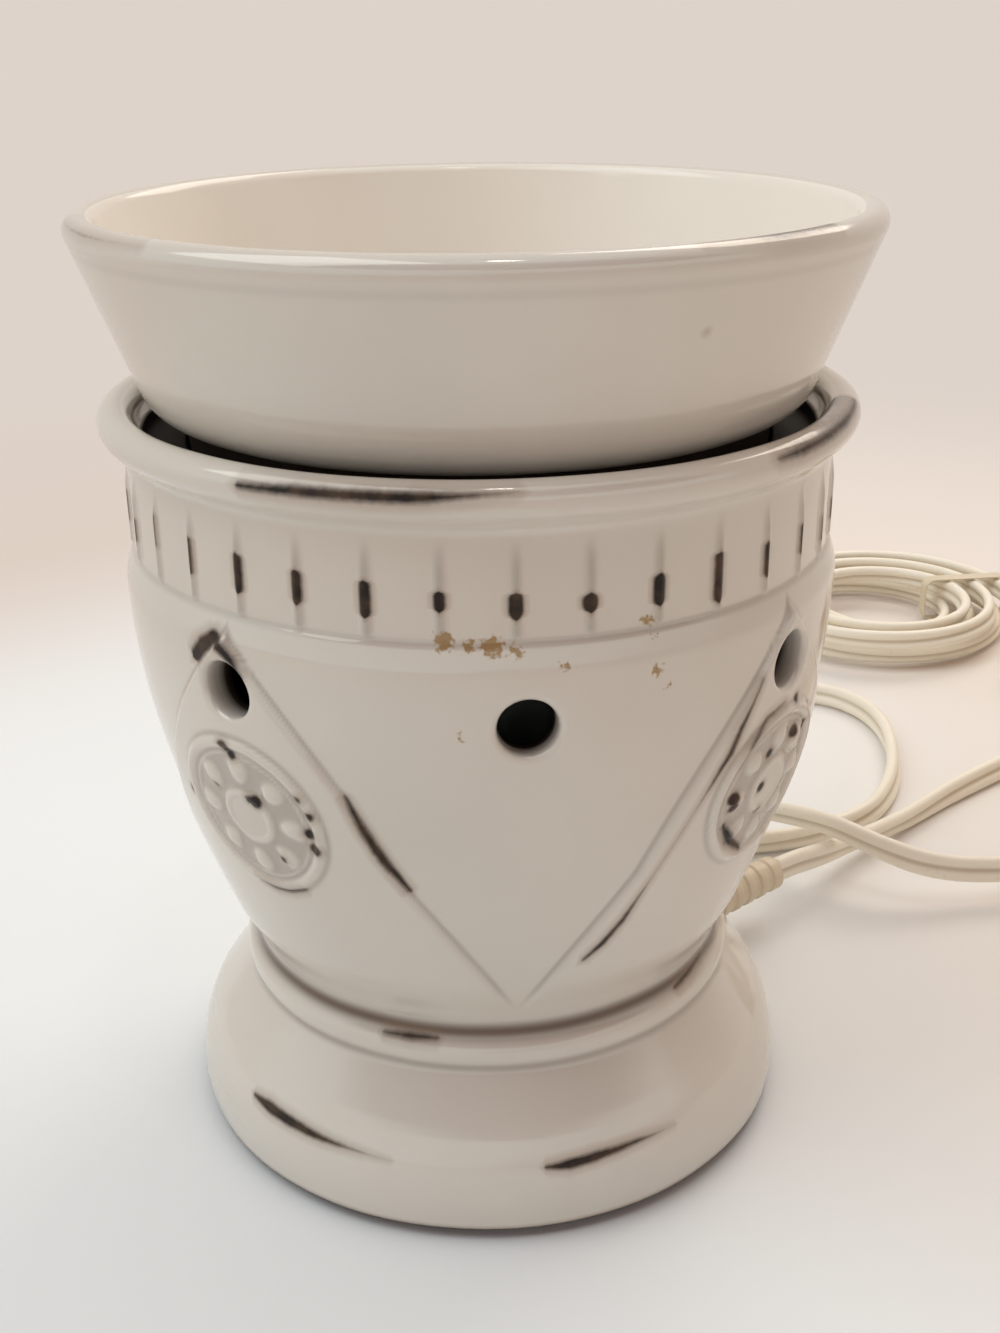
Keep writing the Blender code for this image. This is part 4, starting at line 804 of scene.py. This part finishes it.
def outside_line():
    """The body's outside from its foot over the rim, as (radius, height)."""
    foot = rounded([
        (FOOT_INNER[1], FOOT_LIFT, 0),
        (PEDESTAL_RADIUS - PEDESTAL_SWELL / 2, FOOT_LIFT, 0.0009),
        (PEDESTAL_RADIUS + PEDESTAL_SWELL, Z_SHOULDER / 2 - 0.0012, 0.0020),
        (PEDESTAL_RADIUS - PEDESTAL_SWELL, Z_SHOULDER, 0.0058),
        (NECK_RADIUS, Z_NECK, 0.0010),
        (RING_RADIUS, Z_NECK + 0.0012, 0.0006),
        (RING_RADIUS, Z_RING_TOP - 0.0014, 0.0009),
        (WAIST_RADIUS + 0.0005, Z_RING_TOP + 0.0002, 0.0006),
        (WAIST_RADIUS, Z_WAIST, 0),
    ])
    heights = np.linspace(Z_WAIST, Z_BELLY_TOP, 90)[1:]
    bowl = np.stack([bowl_radius(heights), heights], 1)
    band = rounded([
        (BELLY_RADIUS, Z_BELLY_TOP, 0),
        (BELLY_RADIUS, Z_BELLY_TOP + 0.0010, 0.0008),
        (BAND_RADIUS + 0.0005, Z_BAND - 0.0002, 0.0004),
        (BAND_RADIUS, Z_BAND + 0.0002, 0.0003),
        (BAND_RADIUS, Z_FLARE, 0),
    ])
    t = np.linspace(0, 1, 24)[1:, None]
    rim = LIP_CENTRE[0] + LIP_RADIUS
    pulls = np.array([(BAND_RADIUS, Z_FLARE), (BAND_RADIUS, 0.1172), (rim, 0.1170), (rim, LIP_CENTRE[1])])
    flare = (1 - t) ** 3 * pulls[0] + 3 * t * (1 - t) ** 2 * pulls[1]
    flare = flare + 3 * t**2 * (1 - t) * pulls[2] + t**3 * pulls[3]
    lip = arc(LIP_CENTRE, (LIP_RADIUS, LIP_RADIUS), 0, 180, 40)[1:]
    return evenly(np.concatenate([foot, bowl, band[1:], flare, lip]), ROW_SPACING)


def inside_line(vent_rows, cord_rows):
    """The body's inside from the rim down to the recess for the base plate, as (radius, height)."""
    mouth = rounded([
        (LIP_CENTRE[0] - LIP_RADIUS, LIP_CENTRE[1] - 0.0003, 0),
        (MOUTH_RADIUS, Z_MOUTH, 0.0006),
        (MOUTH_RADIUS, Z_SEAT, 0.0007),
        (SEAT_RADIUS, Z_SEAT, 0.0004),
        (SEAT_RADIUS, Z_STEP, 0.0004),
        (THROAT_RADIUS, Z_STEP, 0.0005),
        (THROAT_RADIUS, Z_THROAT, 0.0006),
        (*INSIDE_TOP[0], 0.0010),
        (*INSIDE_TOP[1], 0),
    ])
    upper = [(bowl_radius(z) - CERAMIC_WALL, z) for z in vent_rows]
    lower = [(bowl_radius(z) - CERAMIC_WALL, z) for z in np.linspace(vent_rows[-1], Z_WAIST, 24)[1:]]
    neck = [(NECK_RADIUS - CERAMIC_WALL, Z_NECK)]
    slope = (PEDESTAL_RADIUS - NECK_RADIUS) / (Z_NECK - Z_SHOULDER)
    wall = PEDESTAL_RADIUS - CERAMIC_WALL
    pedestal = [(wall - max(0, z - Z_SHOULDER) * slope, z) for z in cord_rows]
    recess = rounded([
        (wall, cord_rows[-1] - 0.0002, 0),
        (wall, Z_FLANGE, 0.0001),
        (OPENING_RADIUS, Z_FLANGE, 0.0005),
        (OPENING_RADIUS, Z_RECESS, 0.0005),
        (RECESS_RADIUS, Z_RECESS, 0.0004),
        (RECESS_RADIUS, FOOT_LIFT, 0.0004),
        (FOOT_INNER[0], FOOT_LIFT, 0),
    ])
    return np.array([*mouth, *upper, *lower, *neck, *pedestal, *recess])


def panel_edge(theta, z):
    """How far inside a panel's slanting edges a point lies, along the surface."""
    share = (Z_PANEL_TIP - z) / (Z_PANEL_TIP - Z_PANEL_FOOT)
    swell = PANEL_SWELL * np.sin(np.pi * np.clip((Z_PANEL_TIP - z) / PANEL_SWELL_HEIGHT, 0, 1))
    half = PANEL_FOOT_HALF * share + swell
    return (half - np.abs(wrapped(theta - PANEL_TURN, math.tau / PANEL_COUNT))) * bowl_radius(z)


def medallion_place(theta, z):
    """Polar place in the nearest medallion."""
    across = wrapped(theta - PANEL_TURN, math.tau / PANEL_COUNT) * bowl_radius(Z_MEDALLION)
    up = z - Z_MEDALLION
    return np.hypot(across, up), np.arctan2(up, across)


def rosette(reach, angle):
    """Relief of a plain rosette: a rim, a fine ring, round petals and a ringed disc."""
    turn = wrapped(angle, math.tau / PETALS)
    along = (reach * np.cos(turn) - PETAL_MIDDLE) / PETAL_HALF_LENGTH
    across = reach * np.sin(turn) / (PETAL_HALF_WIDTH + PETAL_FLARE * np.clip(along, -1, 1))
    height = PETAL_RISE * (1 - smoothstep(0.20, 1.0, np.hypot(along, across)))
    for middle, half, rise in ROSETTE_RINGS:
        height = np.maximum(height, rise * ridge(reach - middle, half))
    inner, outer, rise = ROSETTE_DISC
    return np.maximum(height, rise * (1 - smoothstep(inner, outer, reach)))


def unevenness(theta, z):
    """The slight waviness of a cast and glazed wall."""
    slow = np.sin(3 * theta + 1.3) * np.sin(70 * z + 0.4)
    middle = np.sin(7 * theta + 40 * z)
    quick = np.sin(13 * theta - 95 * z + 2)
    return 0.00007 * slow + 0.00005 * middle + 0.00003 * quick


def body_relief(theta, z):
    """How far the ornament stands out of the plain body, and how much painted shade darkens the recesses and
    creases beside it.
    """
    inside = panel_edge(theta, z)
    fade = smoothstep(*PANEL_FADE, z)
    panel = fade * PANEL_RISE * smoothstep(-EDGE_SOFTNESS, EDGE_SOFTNESS, inside)
    on_bowl = (z > Z_WAIST) & (z < Z_PANEL_TIP + 0.002)
    reach, angle = medallion_place(theta, z)
    on_medallion = on_bowl & (reach < MEDALLION_RADIUS + 0.002)
    flower = rosette(reach, angle)
    beside_rib = wrapped(theta - RIB_TURN, math.tau / RIB_COUNT) * BAND_RADIUS
    rib_start = smoothstep(RIB_BOTTOM - 0.0006, RIB_BOTTOM + 0.0006, z)
    along_rib = rib_start * (1 - smoothstep(RIB_TOP - 0.0045, RIB_TOP + 0.0008, z))
    rib = RIB_PROUD * along_rib * ridge(beside_rib, RIB_HALF)
    height = unevenness(theta, z) + rib
    height = height + np.where(on_bowl, panel, 0) + np.where(on_medallion, flower, 0)
    # painted shade: along the low side of the panels' edges, in the medallions' hollows and beside the ribs
    edge_pool = 0.36 * fade * ridge(inside + 0.0007, 0.0008)
    hollow_shade = 0.38 * smoothstep(0.0142, 0.0132, reach) * (1 - smoothstep(0.0, 0.0004, flower))
    rib_pool = 0.34 * along_rib * ridge(beside_rib, 0.0012)
    pool = np.where(on_bowl, edge_pool, 0) + np.where(on_medallion, hollow_shade, 0) + rib_pool
    # painted shade in the creases at the neck, above the ring and under the band, and painted contact shade
    # just above the foot
    pool = pool + 0.45 * ridge(z - Z_NECK - 0.0001, 0.0012) + ridge(z - Z_RING_TOP - 0.0012, 0.0021)
    pool = pool + 0.20 * ridge(z - Z_BAND - 0.0002, 0.0008) + 0.5 * smoothstep(0.0026, 0.0015, z)
    return height, np.clip(pool, 0, 1)


def worn_lines(theta, z, strokes, radius):
    """Each point's signed distance from the worn line it is deepest in, and that line's half width there."""
    across = np.full(len(theta), FAR)
    half = np.full(len(theta), -FAR)
    for sharpness, points in strokes:
        turn, level, width = np.array(points).T
        turn = np.radians(turn)
        middle = (turn.min() + turn.max()) / 2
        close = np.abs(wrapped(theta - middle, math.tau)) < np.ptp(turn) / 2 + WEAR_REACH / radius
        close &= (z > level.min() - WEAR_REACH) & (z < level.max() + WEAR_REACH)
        near = np.flatnonzero(close)
        x = wrapped(theta[near] - middle, math.tau) * radius
        places = np.stack([(turn - middle) * radius, level], 1)
        for start, end, first, last in zip(places, places[1:], width, width[1:]):
            run = end - start
            length = np.hypot(*run)
            aside = x - start[0]
            above = z[near] - start[1]
            share = (aside * run[0] + above * run[1]) / length**2
            within = np.clip(share, 0, 1)
            apart = (above * run[0] - aside * run[1]) / length
            here = first + (last - first) * within
            beyond = length * np.abs(share - within)
            round_end = np.sqrt(np.clip(here**2 - beyond**2, 0, None))
            here = np.where(beyond < here, round_end, here - beyond)
            deeper = sharpness * (here - np.abs(apart)) > half[near] - np.abs(across[near])
            half[near[deeper]] = sharpness * here[deeper]
            across[near[deeper]] = sharpness * apart[deeper]
    half[half - np.abs(across) < -HALO] = -FAR
    return across, half


def in_spots(theta, z, spots, radius):
    """How deep each point lies in the nearest of some round spots, less than 0 outside them."""
    depth = np.full(len(theta), -FAR)
    for degrees, level, size in spots:
        apart = np.hypot(wrapped(theta - math.radians(degrees), math.tau) * radius, z - level)
        depth = np.maximum(depth, size - apart)
    return depth


def seeded_strokes():
    """Wear like the front's for the back: on the rim, the pedestal, the ring and the panels' edges."""
    strokes = []
    for angle in (92, 140, 188, 224):
        end = angle + chance.uniform(14, 30)
        level = chance.uniform(0.1205, 0.1220)
        middle = (angle + end) / 2
        strokes.append((0.4, [(angle, level, 0.0004), (middle, level, 0.0009), (end, level, 0.0002)]))
    for angle in (95, 128, 172, 218):
        end = angle + chance.uniform(14, 26)
        strokes.append((0.7, [(angle, 0.0130, 0.0003), (angle + 6, 0.0131, 0.0008), (end, 0.0130, -0.0003)]))
    for angle in (100, 165, 205, 240):
        end = angle + chance.uniform(8, 16)
        strokes.append((0.6, [(angle, 0.0298, 0.0002), (end, 0.0299, 0.0005)]))
    for centre in (135, 225):
        for side in (-1, 1):
            top = chance.uniform(0.072, 0.088)
            levels = np.linspace(top, top - chance.uniform(0.012, 0.018), 3)
            halves = np.degrees(panel_edge(PANEL_TURN, levels) / bowl_radius(levels))
            widths = (0.0002, 0.0006, 0.0003)
            strokes.append((0.9, [(centre + side * h, z, w) for h, z, w in zip(halves, levels, widths)]))
        tip = [(centre - 5, 0.0937, 0.0009), (centre - 1, 0.0970, 0.0010), (centre + 3, 0.0940, 0.0004)]
        strokes.append((0.9, tip))
    return strokes


def rib_marks():
    """The worn crests of the ribs, at random where they face away from the front."""
    marks = []
    for number in range(-(RIB_COUNT // 2), RIB_COUNT // 2 + 1):
        low = chance.uniform(0.1036, 0.1050)
        high = chance.uniform(0.1072, 0.1100)
        half = chance.uniform(0.0003, 0.0009)
        low, high, half = RIB_WEAR.get(number, (low, high, half))
        turn = math.degrees(RIB_TURN) + 360 * number / RIB_COUNT
        marks.append((1.0, [(turn, low + half, half), (turn, high - half, half)]))
    return marks


def seeded_spots():
    """Worn spots on the rims and the petals of the medallions at the back."""
    spots = []
    for centre in (135, 225):
        for reach in 4 * [ROSETTE_RINGS[0][0]] + 3 * [PETAL_WEAR]:
            angle = chance.uniform(0, math.tau)
            degrees = centre + math.degrees(reach * math.cos(angle) / bowl_radius(Z_MEDALLION))
            spots.append((degrees, Z_MEDALLION + reach * math.sin(angle), chance.uniform(0.0005, 0.0011)))
    return spots


def glaze_values(count, **given):
    """The values that the glaze reads at each vertex, with the plain value for those not given."""
    plain = {"across": FAR, "half": -FAR, "spot": -FAR, "stain": -FAR, "pool": 0, "cream": 0, "bare": 0}
    return {name: given.get(name, np.full(count, value)) for name, value in plain.items()}


def body_glaze(theta, height, bare, cream):
    """Wear, stains and painted shade in recesses at each point of the body, with no wear on the bare inside.
    """
    strokes = BODY_WEAR + rib_marks() + seeded_strokes()
    across, half = worn_lines(theta, height, strokes, BAND_RADIUS)
    spot = in_spots(theta, height, SPOTS + seeded_spots(), bowl_radius(Z_MEDALLION))
    # painted contact shadow: a dark brown line along the foot's bottom edge, drawn through the wear
    spot = np.maximum(spot, Z_FOOT_SHADOW - height)
    half[bare > 0] = -FAR
    spot[bare > 0] = -FAR
    stain = in_spots(theta, height, STAINS, BAND_RADIUS)
    pool = body_relief(theta, height)[1] * (1 - bare)
    return glaze_values(
        len(theta), across=across, half=half, spot=spot, stain=stain, pool=pool, cream=cream, bare=bare
    )


def nearest(heights, wanted):
    return int(np.argmin(np.abs(heights - wanted)))


def square_ring(half):
    """The grid steps round a square of the given half size, once round."""
    span = range(-half, half)
    places = [(-half, k) for k in span] + [(k, half) for k in span]
    return places + [(half, -k) for k in span] + [(-k, -half) for k in span]


def hole_rings(square, circle, radius):
    """A hole's rings from the square round it inward, each with its sinking and its depth in the wall."""
    rings = []
    for share in (0.3, 0.6, 0.85, 1.0):
        rings.append((square * (1 - share) + circle * (radius + HOLE_ROUNDING) * share, 0.0, 0.0))
    for turn in np.radians((30, 60, 90)):
        reach = radius + HOLE_ROUNDING * (1 - math.sin(turn))
        rings.append((circle * reach, HOLE_ROUNDING * (1 - math.cos(turn)), 0.0))
    for depth in (0.5, 0.75, 1.0):
        rings.append((circle * radius, HOLE_ROUNDING, depth))
    for share in (0.6, 0.3):
        rings.append((square * (1 - share) + circle * radius * share, HOLE_ROUNDING, 1.0))
    return rings


def body_mesh():
    """The body as a fine grid round the axis, with the vents and the cord's hole let through its wall."""
    outer = outside_line()
    rows = len(outer)
    vent_row = nearest(outer[:, 1], Z_VENT)
    panel_row = nearest(outer[:, 1], Z_PANEL_VENT)
    cord_row = nearest(outer[:, 1], Z_CORD)
    vent_heights = outer[vent_row - VENT_HALF:panel_row + VENT_HALF + 1, 1][::-1]
    cord_heights = outer[cord_row - CORD_HOLE_HALF:cord_row + CORD_HOLE_HALF + 1, 1][::-1]
    inner = inside_line(vent_heights, cord_heights)
    profile = np.concatenate([outer, inner])
    radius, height = np.repeat(profile, COLUMNS, axis=0).T
    theta = np.tile(np.arange(COLUMNS) * math.tau / COLUMNS, len(profile))
    outside = np.repeat(np.arange(len(profile)) < rows, COLUMNS)
    radius = radius + np.where(outside, body_relief(theta, height)[0], 0)
    # painted light: the glazed inside of the mouth takes the paler, creamier tone of a lit surface
    mouth = (height > Z_GLAZED_INSIDE) & (radius < LIP_CENTRE[0] - 0.0010)
    points = [np.stack([theta, radius, height, ~(outside | mouth), LIT_CREAM_INSIDE * mouth], 1)]
    count = len(theta)
    kept = np.ones((len(profile), COLUMNS), bool)
    faces = []
    step = COLUMNS // (2 * PANEL_COUNT)
    holes = [(vent_row, 2 * k * step, VENT_RADIUS, VENT_HALF) for k in range(PANEL_COUNT)]
    holes += [(panel_row, (2 * k + 1) * step, VENT_RADIUS, VENT_HALF) for k in range(PANEL_COUNT)]
    cord_column = round((math.pi / 2 + CORD_EXIT_TURN) / math.tau * COLUMNS)
    holes.append((cord_row, cord_column, CORD_HOLE_RADIUS, CORD_HOLE_HALF))
    for row, column, hole_radius, half in holes:
        inner_row = rows + nearest(inner[:, 1], outer[row, 1])
        for middle in (row, inner_row):
            columns = np.arange(column - half, column + half) % COLUMNS
            kept[np.ix_(range(middle - half, middle + half), columns)] = False
        places = square_ring(half)
        outer_ring = [(row + i) * COLUMNS + (column + j) % COLUMNS for i, j in places]
        inner_ring = [(inner_row - i) * COLUMNS + (column + j) % COLUMNS for i, j in places]
        around = np.array([j for _, j in places]) * math.tau / COLUMNS * outer[row, 0]
        upward = outer[[row + i for i, _ in places], 1] - outer[row, 1]
        square = np.stack([around, upward], 1)
        circle = square / np.linalg.norm(square, axis=1)[:, None]
        span = slice(row - half, row + half + 1)
        inner_span = slice(inner_row - half, inner_row + half + 1)
        previous = outer_ring
        for local, sunk, depth in hole_rings(square, circle, hole_radius):
            angle = column * math.tau / COLUMNS + local[:, 0] / outer[row, 0]
            level = outer[row, 1] + local[:, 1]
            surface = np.interp(level, outer[span, 1], outer[span, 0]) + body_relief(angle, level)[0] - sunk
            wall = np.interp(level, profile[inner_span, 1][::-1], profile[inner_span, 0][::-1])
            bare = np.full(len(level), smoothstep(0.3, 0.7, depth))
            points.append(np.stack([angle, surface + (wall - surface) * depth, level, bare, 0 * bare], 1))
            numbers = list(range(count, count + len(level)))
            count += len(level)
            faces += strip(previous, numbers)
            previous = numbers
        faces += strip(previous, inner_ring)
    theta, radius, height, bare, cream = np.concatenate(points).T
    i, j = np.nonzero(kept)
    after = (i + 1) % len(profile)
    beside = (j + 1) % COLUMNS
    grid = np.stack([i * COLUMNS + j, i * COLUMNS + beside, after * COLUMNS + beside, after * COLUMNS + j], 1)
    vertices = np.stack([radius * np.sin(theta), -radius * np.cos(theta), height], 1)
    return vertices, grid.tolist() + faces, body_glaze(theta, height, bare, cream)


def make_body(finish):
    vertices, faces, attributes = body_mesh()
    body = piece("glazed_body", vertices, faces, "body", finish, attributes=attributes)
    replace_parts(body, "warmer_body")


def make_dish(finish):
    """The dish: a foot ring, a flaring wall with a rolled rim, and a flat floor inside."""
    under = rounded([
        (0.0, Z_DISH_UNDER, 0),
        (DISH_FOOT[0], Z_DISH_UNDER, 0.0004),
        (DISH_FOOT[0], Z_DISH, 0.0006),
        (DISH_FOOT[1] - 0.0002, Z_DISH, 0.0004),
        (DISH_FOOT[1] + 0.0004, Z_DISH_WALL - DISH_TURN[1], 0.0001),
        (DISH_FOOT[1] + 0.0005, Z_DISH_WALL - DISH_TURN[1] + 0.0001, 0),
    ])
    turn_centre = (DISH_WALL_RADIUS - DISH_TURN[0], Z_DISH_WALL)
    turn = arc(turn_centre, DISH_TURN, -86, -18, 24)
    bead = arc(DISH_BEAD_CENTRE, (DISH_BEAD, DISH_BEAD), -26, 160, 40)
    wall = np.linspace(turn[-1], bead[0], 46)[1:-1]
    floor_centre = (DISH_INSIDE_RADIUS - DISH_FLOOR_TURN, Z_DISH_WALL)
    floor_turn = arc(floor_centre, (DISH_FLOOR_TURN, Z_DISH_WALL - Z_DISH_FLOOR), -12, -90, 20)
    inner_wall = np.linspace(bead[-1], floor_turn[0], 46)[1:-1]
    floor = np.linspace(floor_turn[-1], (0.0, Z_DISH_FLOOR), 24)[1:]
    beneath = [np.linspace(under[0], under[1], 16)[:-1], under[1:-2]]
    profile = np.concatenate([*beneath, turn, wall, bead, inner_wall, floor_turn, floor])
    vertices, faces = turned(profile, DISH_COLUMNS)
    vertices = np.array(vertices, float)
    radius = np.hypot(vertices[:, 0], vertices[:, 1])
    theta = np.arctan2(vertices[:, 0], -vertices[:, 1])
    level = vertices[:, 2]
    swing = 1 + unevenness(theta, level) / np.maximum(radius, 0.02)
    vertices[:, :2] *= swing[:, None]
    wall_heights = (Z_DISH_FLOOR, Z_DISH_WALL, DISH_BEAD_CENTRE[1])
    wall_middle = np.interp(level, wall_heights, DISH_WALL_MIDDLES)
    inside = (radius < wall_middle) & (level > Z_DISH_UNDER + 0.0035)
    across, half = worn_lines(theta, level, DISH_WEAR, DISH_BEAD_CENTRE[0])
    spot = in_spots(theta, level, DISH_SPOTS, DISH_WALL_RADIUS)
    half[inside] = -FAR
    spot[inside] = -FAR
    # painted shade: a faint darker band under the rim's bead
    under_bead = ridge(level - DISH_BEAD_CENTRE[1] + DISH_BEAD, 0.0010)
    # the dish's unglazed foot, which the glaze colours nearly black as painted shade in the gap
    bare = (radius < DISH_FOOT[1] + 0.0020) & (level < Z_DISH_WALL - DISH_TURN[1] + 0.0004)
    pool = 0.10 * under_bead * ~inside
    # painted light, partly real tint: the dish's inside is paler and creamier
    cream = LIT_CREAM_INSIDE * inside
    attributes = glaze_values(
        len(vertices), across=across, half=half, spot=spot, pool=pool, cream=cream, bare=bare
    )
    dish = piece("glazed_dish", vertices, faces, "dish", finish, attributes=attributes)
    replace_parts(dish, "wax_dish")


def make_relief(finish):
    """The sleeve where the cord leaves the pedestal, tapered and ribbed."""
    low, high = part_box("cord_strain_relief")
    lines = [
        (0.0, RELIEF_INNER),
        (RELIEF_FLANGE - 0.0002, RELIEF_INNER),
        (RELIEF_FLANGE, RELIEF_INNER + 0.0002),
        (RELIEF_FLANGE, RELIEF_INNER + 0.0016),
        (RELIEF_NECK, RELIEF_INNER + 0.0018),
        (RELIEF_NECK, RELIEF_START),
        (RELIEF_RADIUS - 0.0002, RELIEF_START),
        (RELIEF_RADIUS, RELIEF_START + 0.0003),
    ]
    for x in np.linspace(RELIEF_START + 0.0010, RELIEF_END - 0.0002, 90):
        share = (x - RELIEF_START) / (RELIEF_END - RELIEF_START)
        groove = smoothstep(-0.2, 0.2, np.cos(math.tau * share * RELIEF_RIBS)) * smoothstep(0.98, 0.90, share)
        lines.append((RELIEF_RADIUS - RELIEF_TAPER * share - RELIEF_RIB_DEPTH * groove, x))
    lines += [(RELIEF_NECK - 0.0001, RELIEF_END), (0.0, RELIEF_END)]
    vertices, faces = turned(lines, 48)
    along = Matrix.Rotation(CORD_EXIT_TURN, 4, "Z") @ Matrix.Rotation(math.pi / 2, 4, "Y")
    along = Matrix.Translation((0, 0, (low.z + high.z) / 2)) @ along
    vertices = [along @ Vector(v) for v in vertices]
    relief = piece("relief_sleeve", vertices, faces, "body", finish)
    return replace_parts(relief, "cord_strain_relief")


def make_plug(finish):
    """A moulded two-blade plug: a ribbed tail that swells to a grip with a waist, let in for the blades."""
    low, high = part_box("plug_body")
    middle_x = (low.x + high.x) / 2
    middle_z = (low.z + high.z) / 2
    length = high.y - low.y
    half_width = (high.x - low.x) / 2
    half_height = (high.z - low.z) / 2
    angle = np.arange(PLUG_POINTS) * math.tau / PLUG_POINTS
    rings = []
    for share in np.linspace(0, 1, 60):
        swell = smoothstep(0.30, 0.56, share)
        waist = 1 - 0.06 * ridge(share - 0.78, 0.16)
        rib = 1 - 0.07 * smoothstep(-0.2, 0.2, np.sin(share * 88)) * (share < 0.30)
        end = math.sqrt(max(0.0, 1 - max(0.0, (share - 0.96) / 0.04) ** 2)) * 0.09 + 0.91
        wide = (PLUG_TAIL_RADIUS + (half_width - PLUG_TAIL_RADIUS) * swell) * waist * rib * end
        tall = (PLUG_TAIL_RADIUS + (half_height - PLUG_TAIL_RADIUS) * swell) * rib * end
        power = 2 / (2 + 1.6 * swell)
        x = middle_x + wide * np.sign(np.cos(angle)) * np.abs(np.cos(angle)) ** power
        z = middle_z + tall * np.sign(np.sin(angle)) * np.abs(np.sin(angle)) ** power
        rings.append(np.stack([x, np.full(PLUG_POINTS, high.y - share * length), z], 1))
    vertices, faces = lofted(rings)
    plug = piece("plug_moulding", vertices, faces, "body", finish)
    for name in ("plug_blade_1", "plug_blade_2"):
        cut_slot(plug, name)
    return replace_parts(plug, "plug_body")


def cut_slot(target, name):
    """Lets a straight slot for a blade into a piece, with a little clearance."""
    low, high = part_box(name)
    shape = bmesh.new()
    bmesh.ops.create_cube(shape, size=1)
    clearance = Vector.Fill(3, SLOT_CLEARANCE)
    bmesh.ops.scale(shape, vec=high - low + clearance, verts=shape.verts)
    bmesh.ops.translate(shape, vec=(low + high) / 2, verts=shape.verts)
    cutter = placed("slot", mesh_of(shape, "slot"))
    slot = target.modifiers.new("slot", "BOOLEAN")
    slot.object = cutter
    slot.operation = "DIFFERENCE"
    apply_modifiers(target)
    target.data.set_sharp_from_angle(angle=SHARP_SLOT)
    bpy.data.objects.remove(cutter)


def make_bulb(glass, brass):
    """The bulb's envelope as one smooth curve, and its cap with a rolled thread."""
    low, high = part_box("bulb_glass")
    widest = (high.x - low.x) / 2
    flare = np.linspace(0, 1, 40)
    bottom = low.z + 0.005
    swell = (1 - np.cos(np.pi * flare)) / 2
    radius = BULB_NECK + (widest - BULB_NECK) * swell
    sides = np.stack([radius, bottom + BULB_FLARE * (0.1 + 0.9 * flare)], 1)
    centre = (0, bottom + BULB_FLARE)
    dome = arc(centre, (widest, high.z - centre[1]), 0, 90, 30)[1:]
    outside = np.concatenate([[(BULB_NECK, low.z)], sides, dome])
    outside[-1, 0] = 0
    inside = outside[::-1].copy()
    inside[:, 0] = np.maximum(inside[:, 0] - BULB_WALL, 0)
    inside[:, 1] -= BULB_WALL * smoothstep(centre[1] - 0.01, high.z, inside[:, 1])
    inside[0, 0] = 0
    vertices, faces = turned(np.concatenate([outside[::-1], inside[::-1]]), 96)
    envelope = piece("bulb_envelope", vertices, faces, "bulb", glass)
    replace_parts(envelope, "bulb_glass")
    low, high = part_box("bulb_cap")
    outer = (high.x - low.x) / 2
    heights = np.linspace(low.z + 0.0012, high.z, 70)
    inner = outer - CAP_WALL
    profile = [(CAP_HOLE, low.z), (outer - 0.0012, low.z)]
    profile += [(outer, z) for z in heights]
    profile += [(inner, high.z), (inner, low.z + 0.0018), (CAP_HOLE, low.z + 0.0006)]
    vertices, faces = turned(profile, 72)
    vertices = np.array(vertices, float)
    x, y, z = vertices.T
    on_thread = (np.hypot(x, y) > outer - 0.0001) & (z < high.z - 0.0005)
    wave = 0.5 - 0.5 * np.cos(math.tau * z / THREAD_PITCH - np.arctan2(y, x))
    inset = 1 - THREAD_DEPTH * wave / outer
    vertices[on_thread, :2] *= inset[on_thread, None]
    cap = piece("bulb_screw_cap", vertices, faces, "bulb", brass)
    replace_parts(cap, "bulb_cap")


def paint(finish, *names):
    """Gives CAD nodes that keep their shape a finish of their own."""
    for name in names:
        nodes[name].data.materials.clear()
        nodes[name].data.materials.append(finish)


def main():
    make_camera()
    make_floor()
    make_lights()
    make_surroundings()
    vinyl = cord_vinyl()
    cords = make_cords(vinyl)
    glaze = glazed_ceramic()
    make_body(glaze)
    make_dish(glaze)
    ivory = moulded("ivory_plastic", (0.66, 0.56, 0.40), (0.74, 0.64, 0.48), 0.38)
    relief = make_relief(ivory)
    plug = make_plug(ivory)
    steel = metal("zinc_plate", (0.50, 0.50, 0.50), (0.66, 0.66, 0.64), 0.36)
    brass = metal("bright_brass", (0.62, 0.44, 0.19), (0.78, 0.60, 0.32), 0.28)
    tungsten = metal("dark_wire", (0.16, 0.16, 0.17), (0.30, 0.30, 0.30), 0.45)
    rubber = moulded("grey_rubber", (0.20, 0.19, 0.18), (0.32, 0.31, 0.29), 0.70, 0.25)
    phenolic = moulded("black_phenolic", (0.020, 0.019, 0.018), (0.045, 0.042, 0.040), 0.38)
    glass = frosted_glass()
    make_bulb(glass, brass)
    switch_shells = [softened(name, 0.0008, ivory) for name in ("switch_base", "switch_top")]
    wheel = softened("switch_wheel", 0.0002, ivory)
    tie = softened("cord_tie", 0.00015, ivory)
    blades = [softened(name, 0.0004, brass) for name in ("plug_blade_1", "plug_blade_2")]
    paint(steel, "base_plate", "base_screw_1", "base_screw_2", "clamp_strap", "socket_nipple", "nipple_nut")
    paint(steel, "switch_screw", "bulb_tip")
    paint(brass, "socket_shell", "socket_contact", "terminal_screw_1", "terminal_screw_2")
    paint(brass, "switch_contact_1", "switch_contact_2")
    paint(rubber, "foot_1", "foot_2", "foot_3", "foot_4")
    paint(phenolic, "socket_housing", "bulb_insulator")
    paint(glass, "bulb_stem")
    paint(tungsten, "bulb_filament")
    paint(ivory, "lead_1", "lead_2")


main()
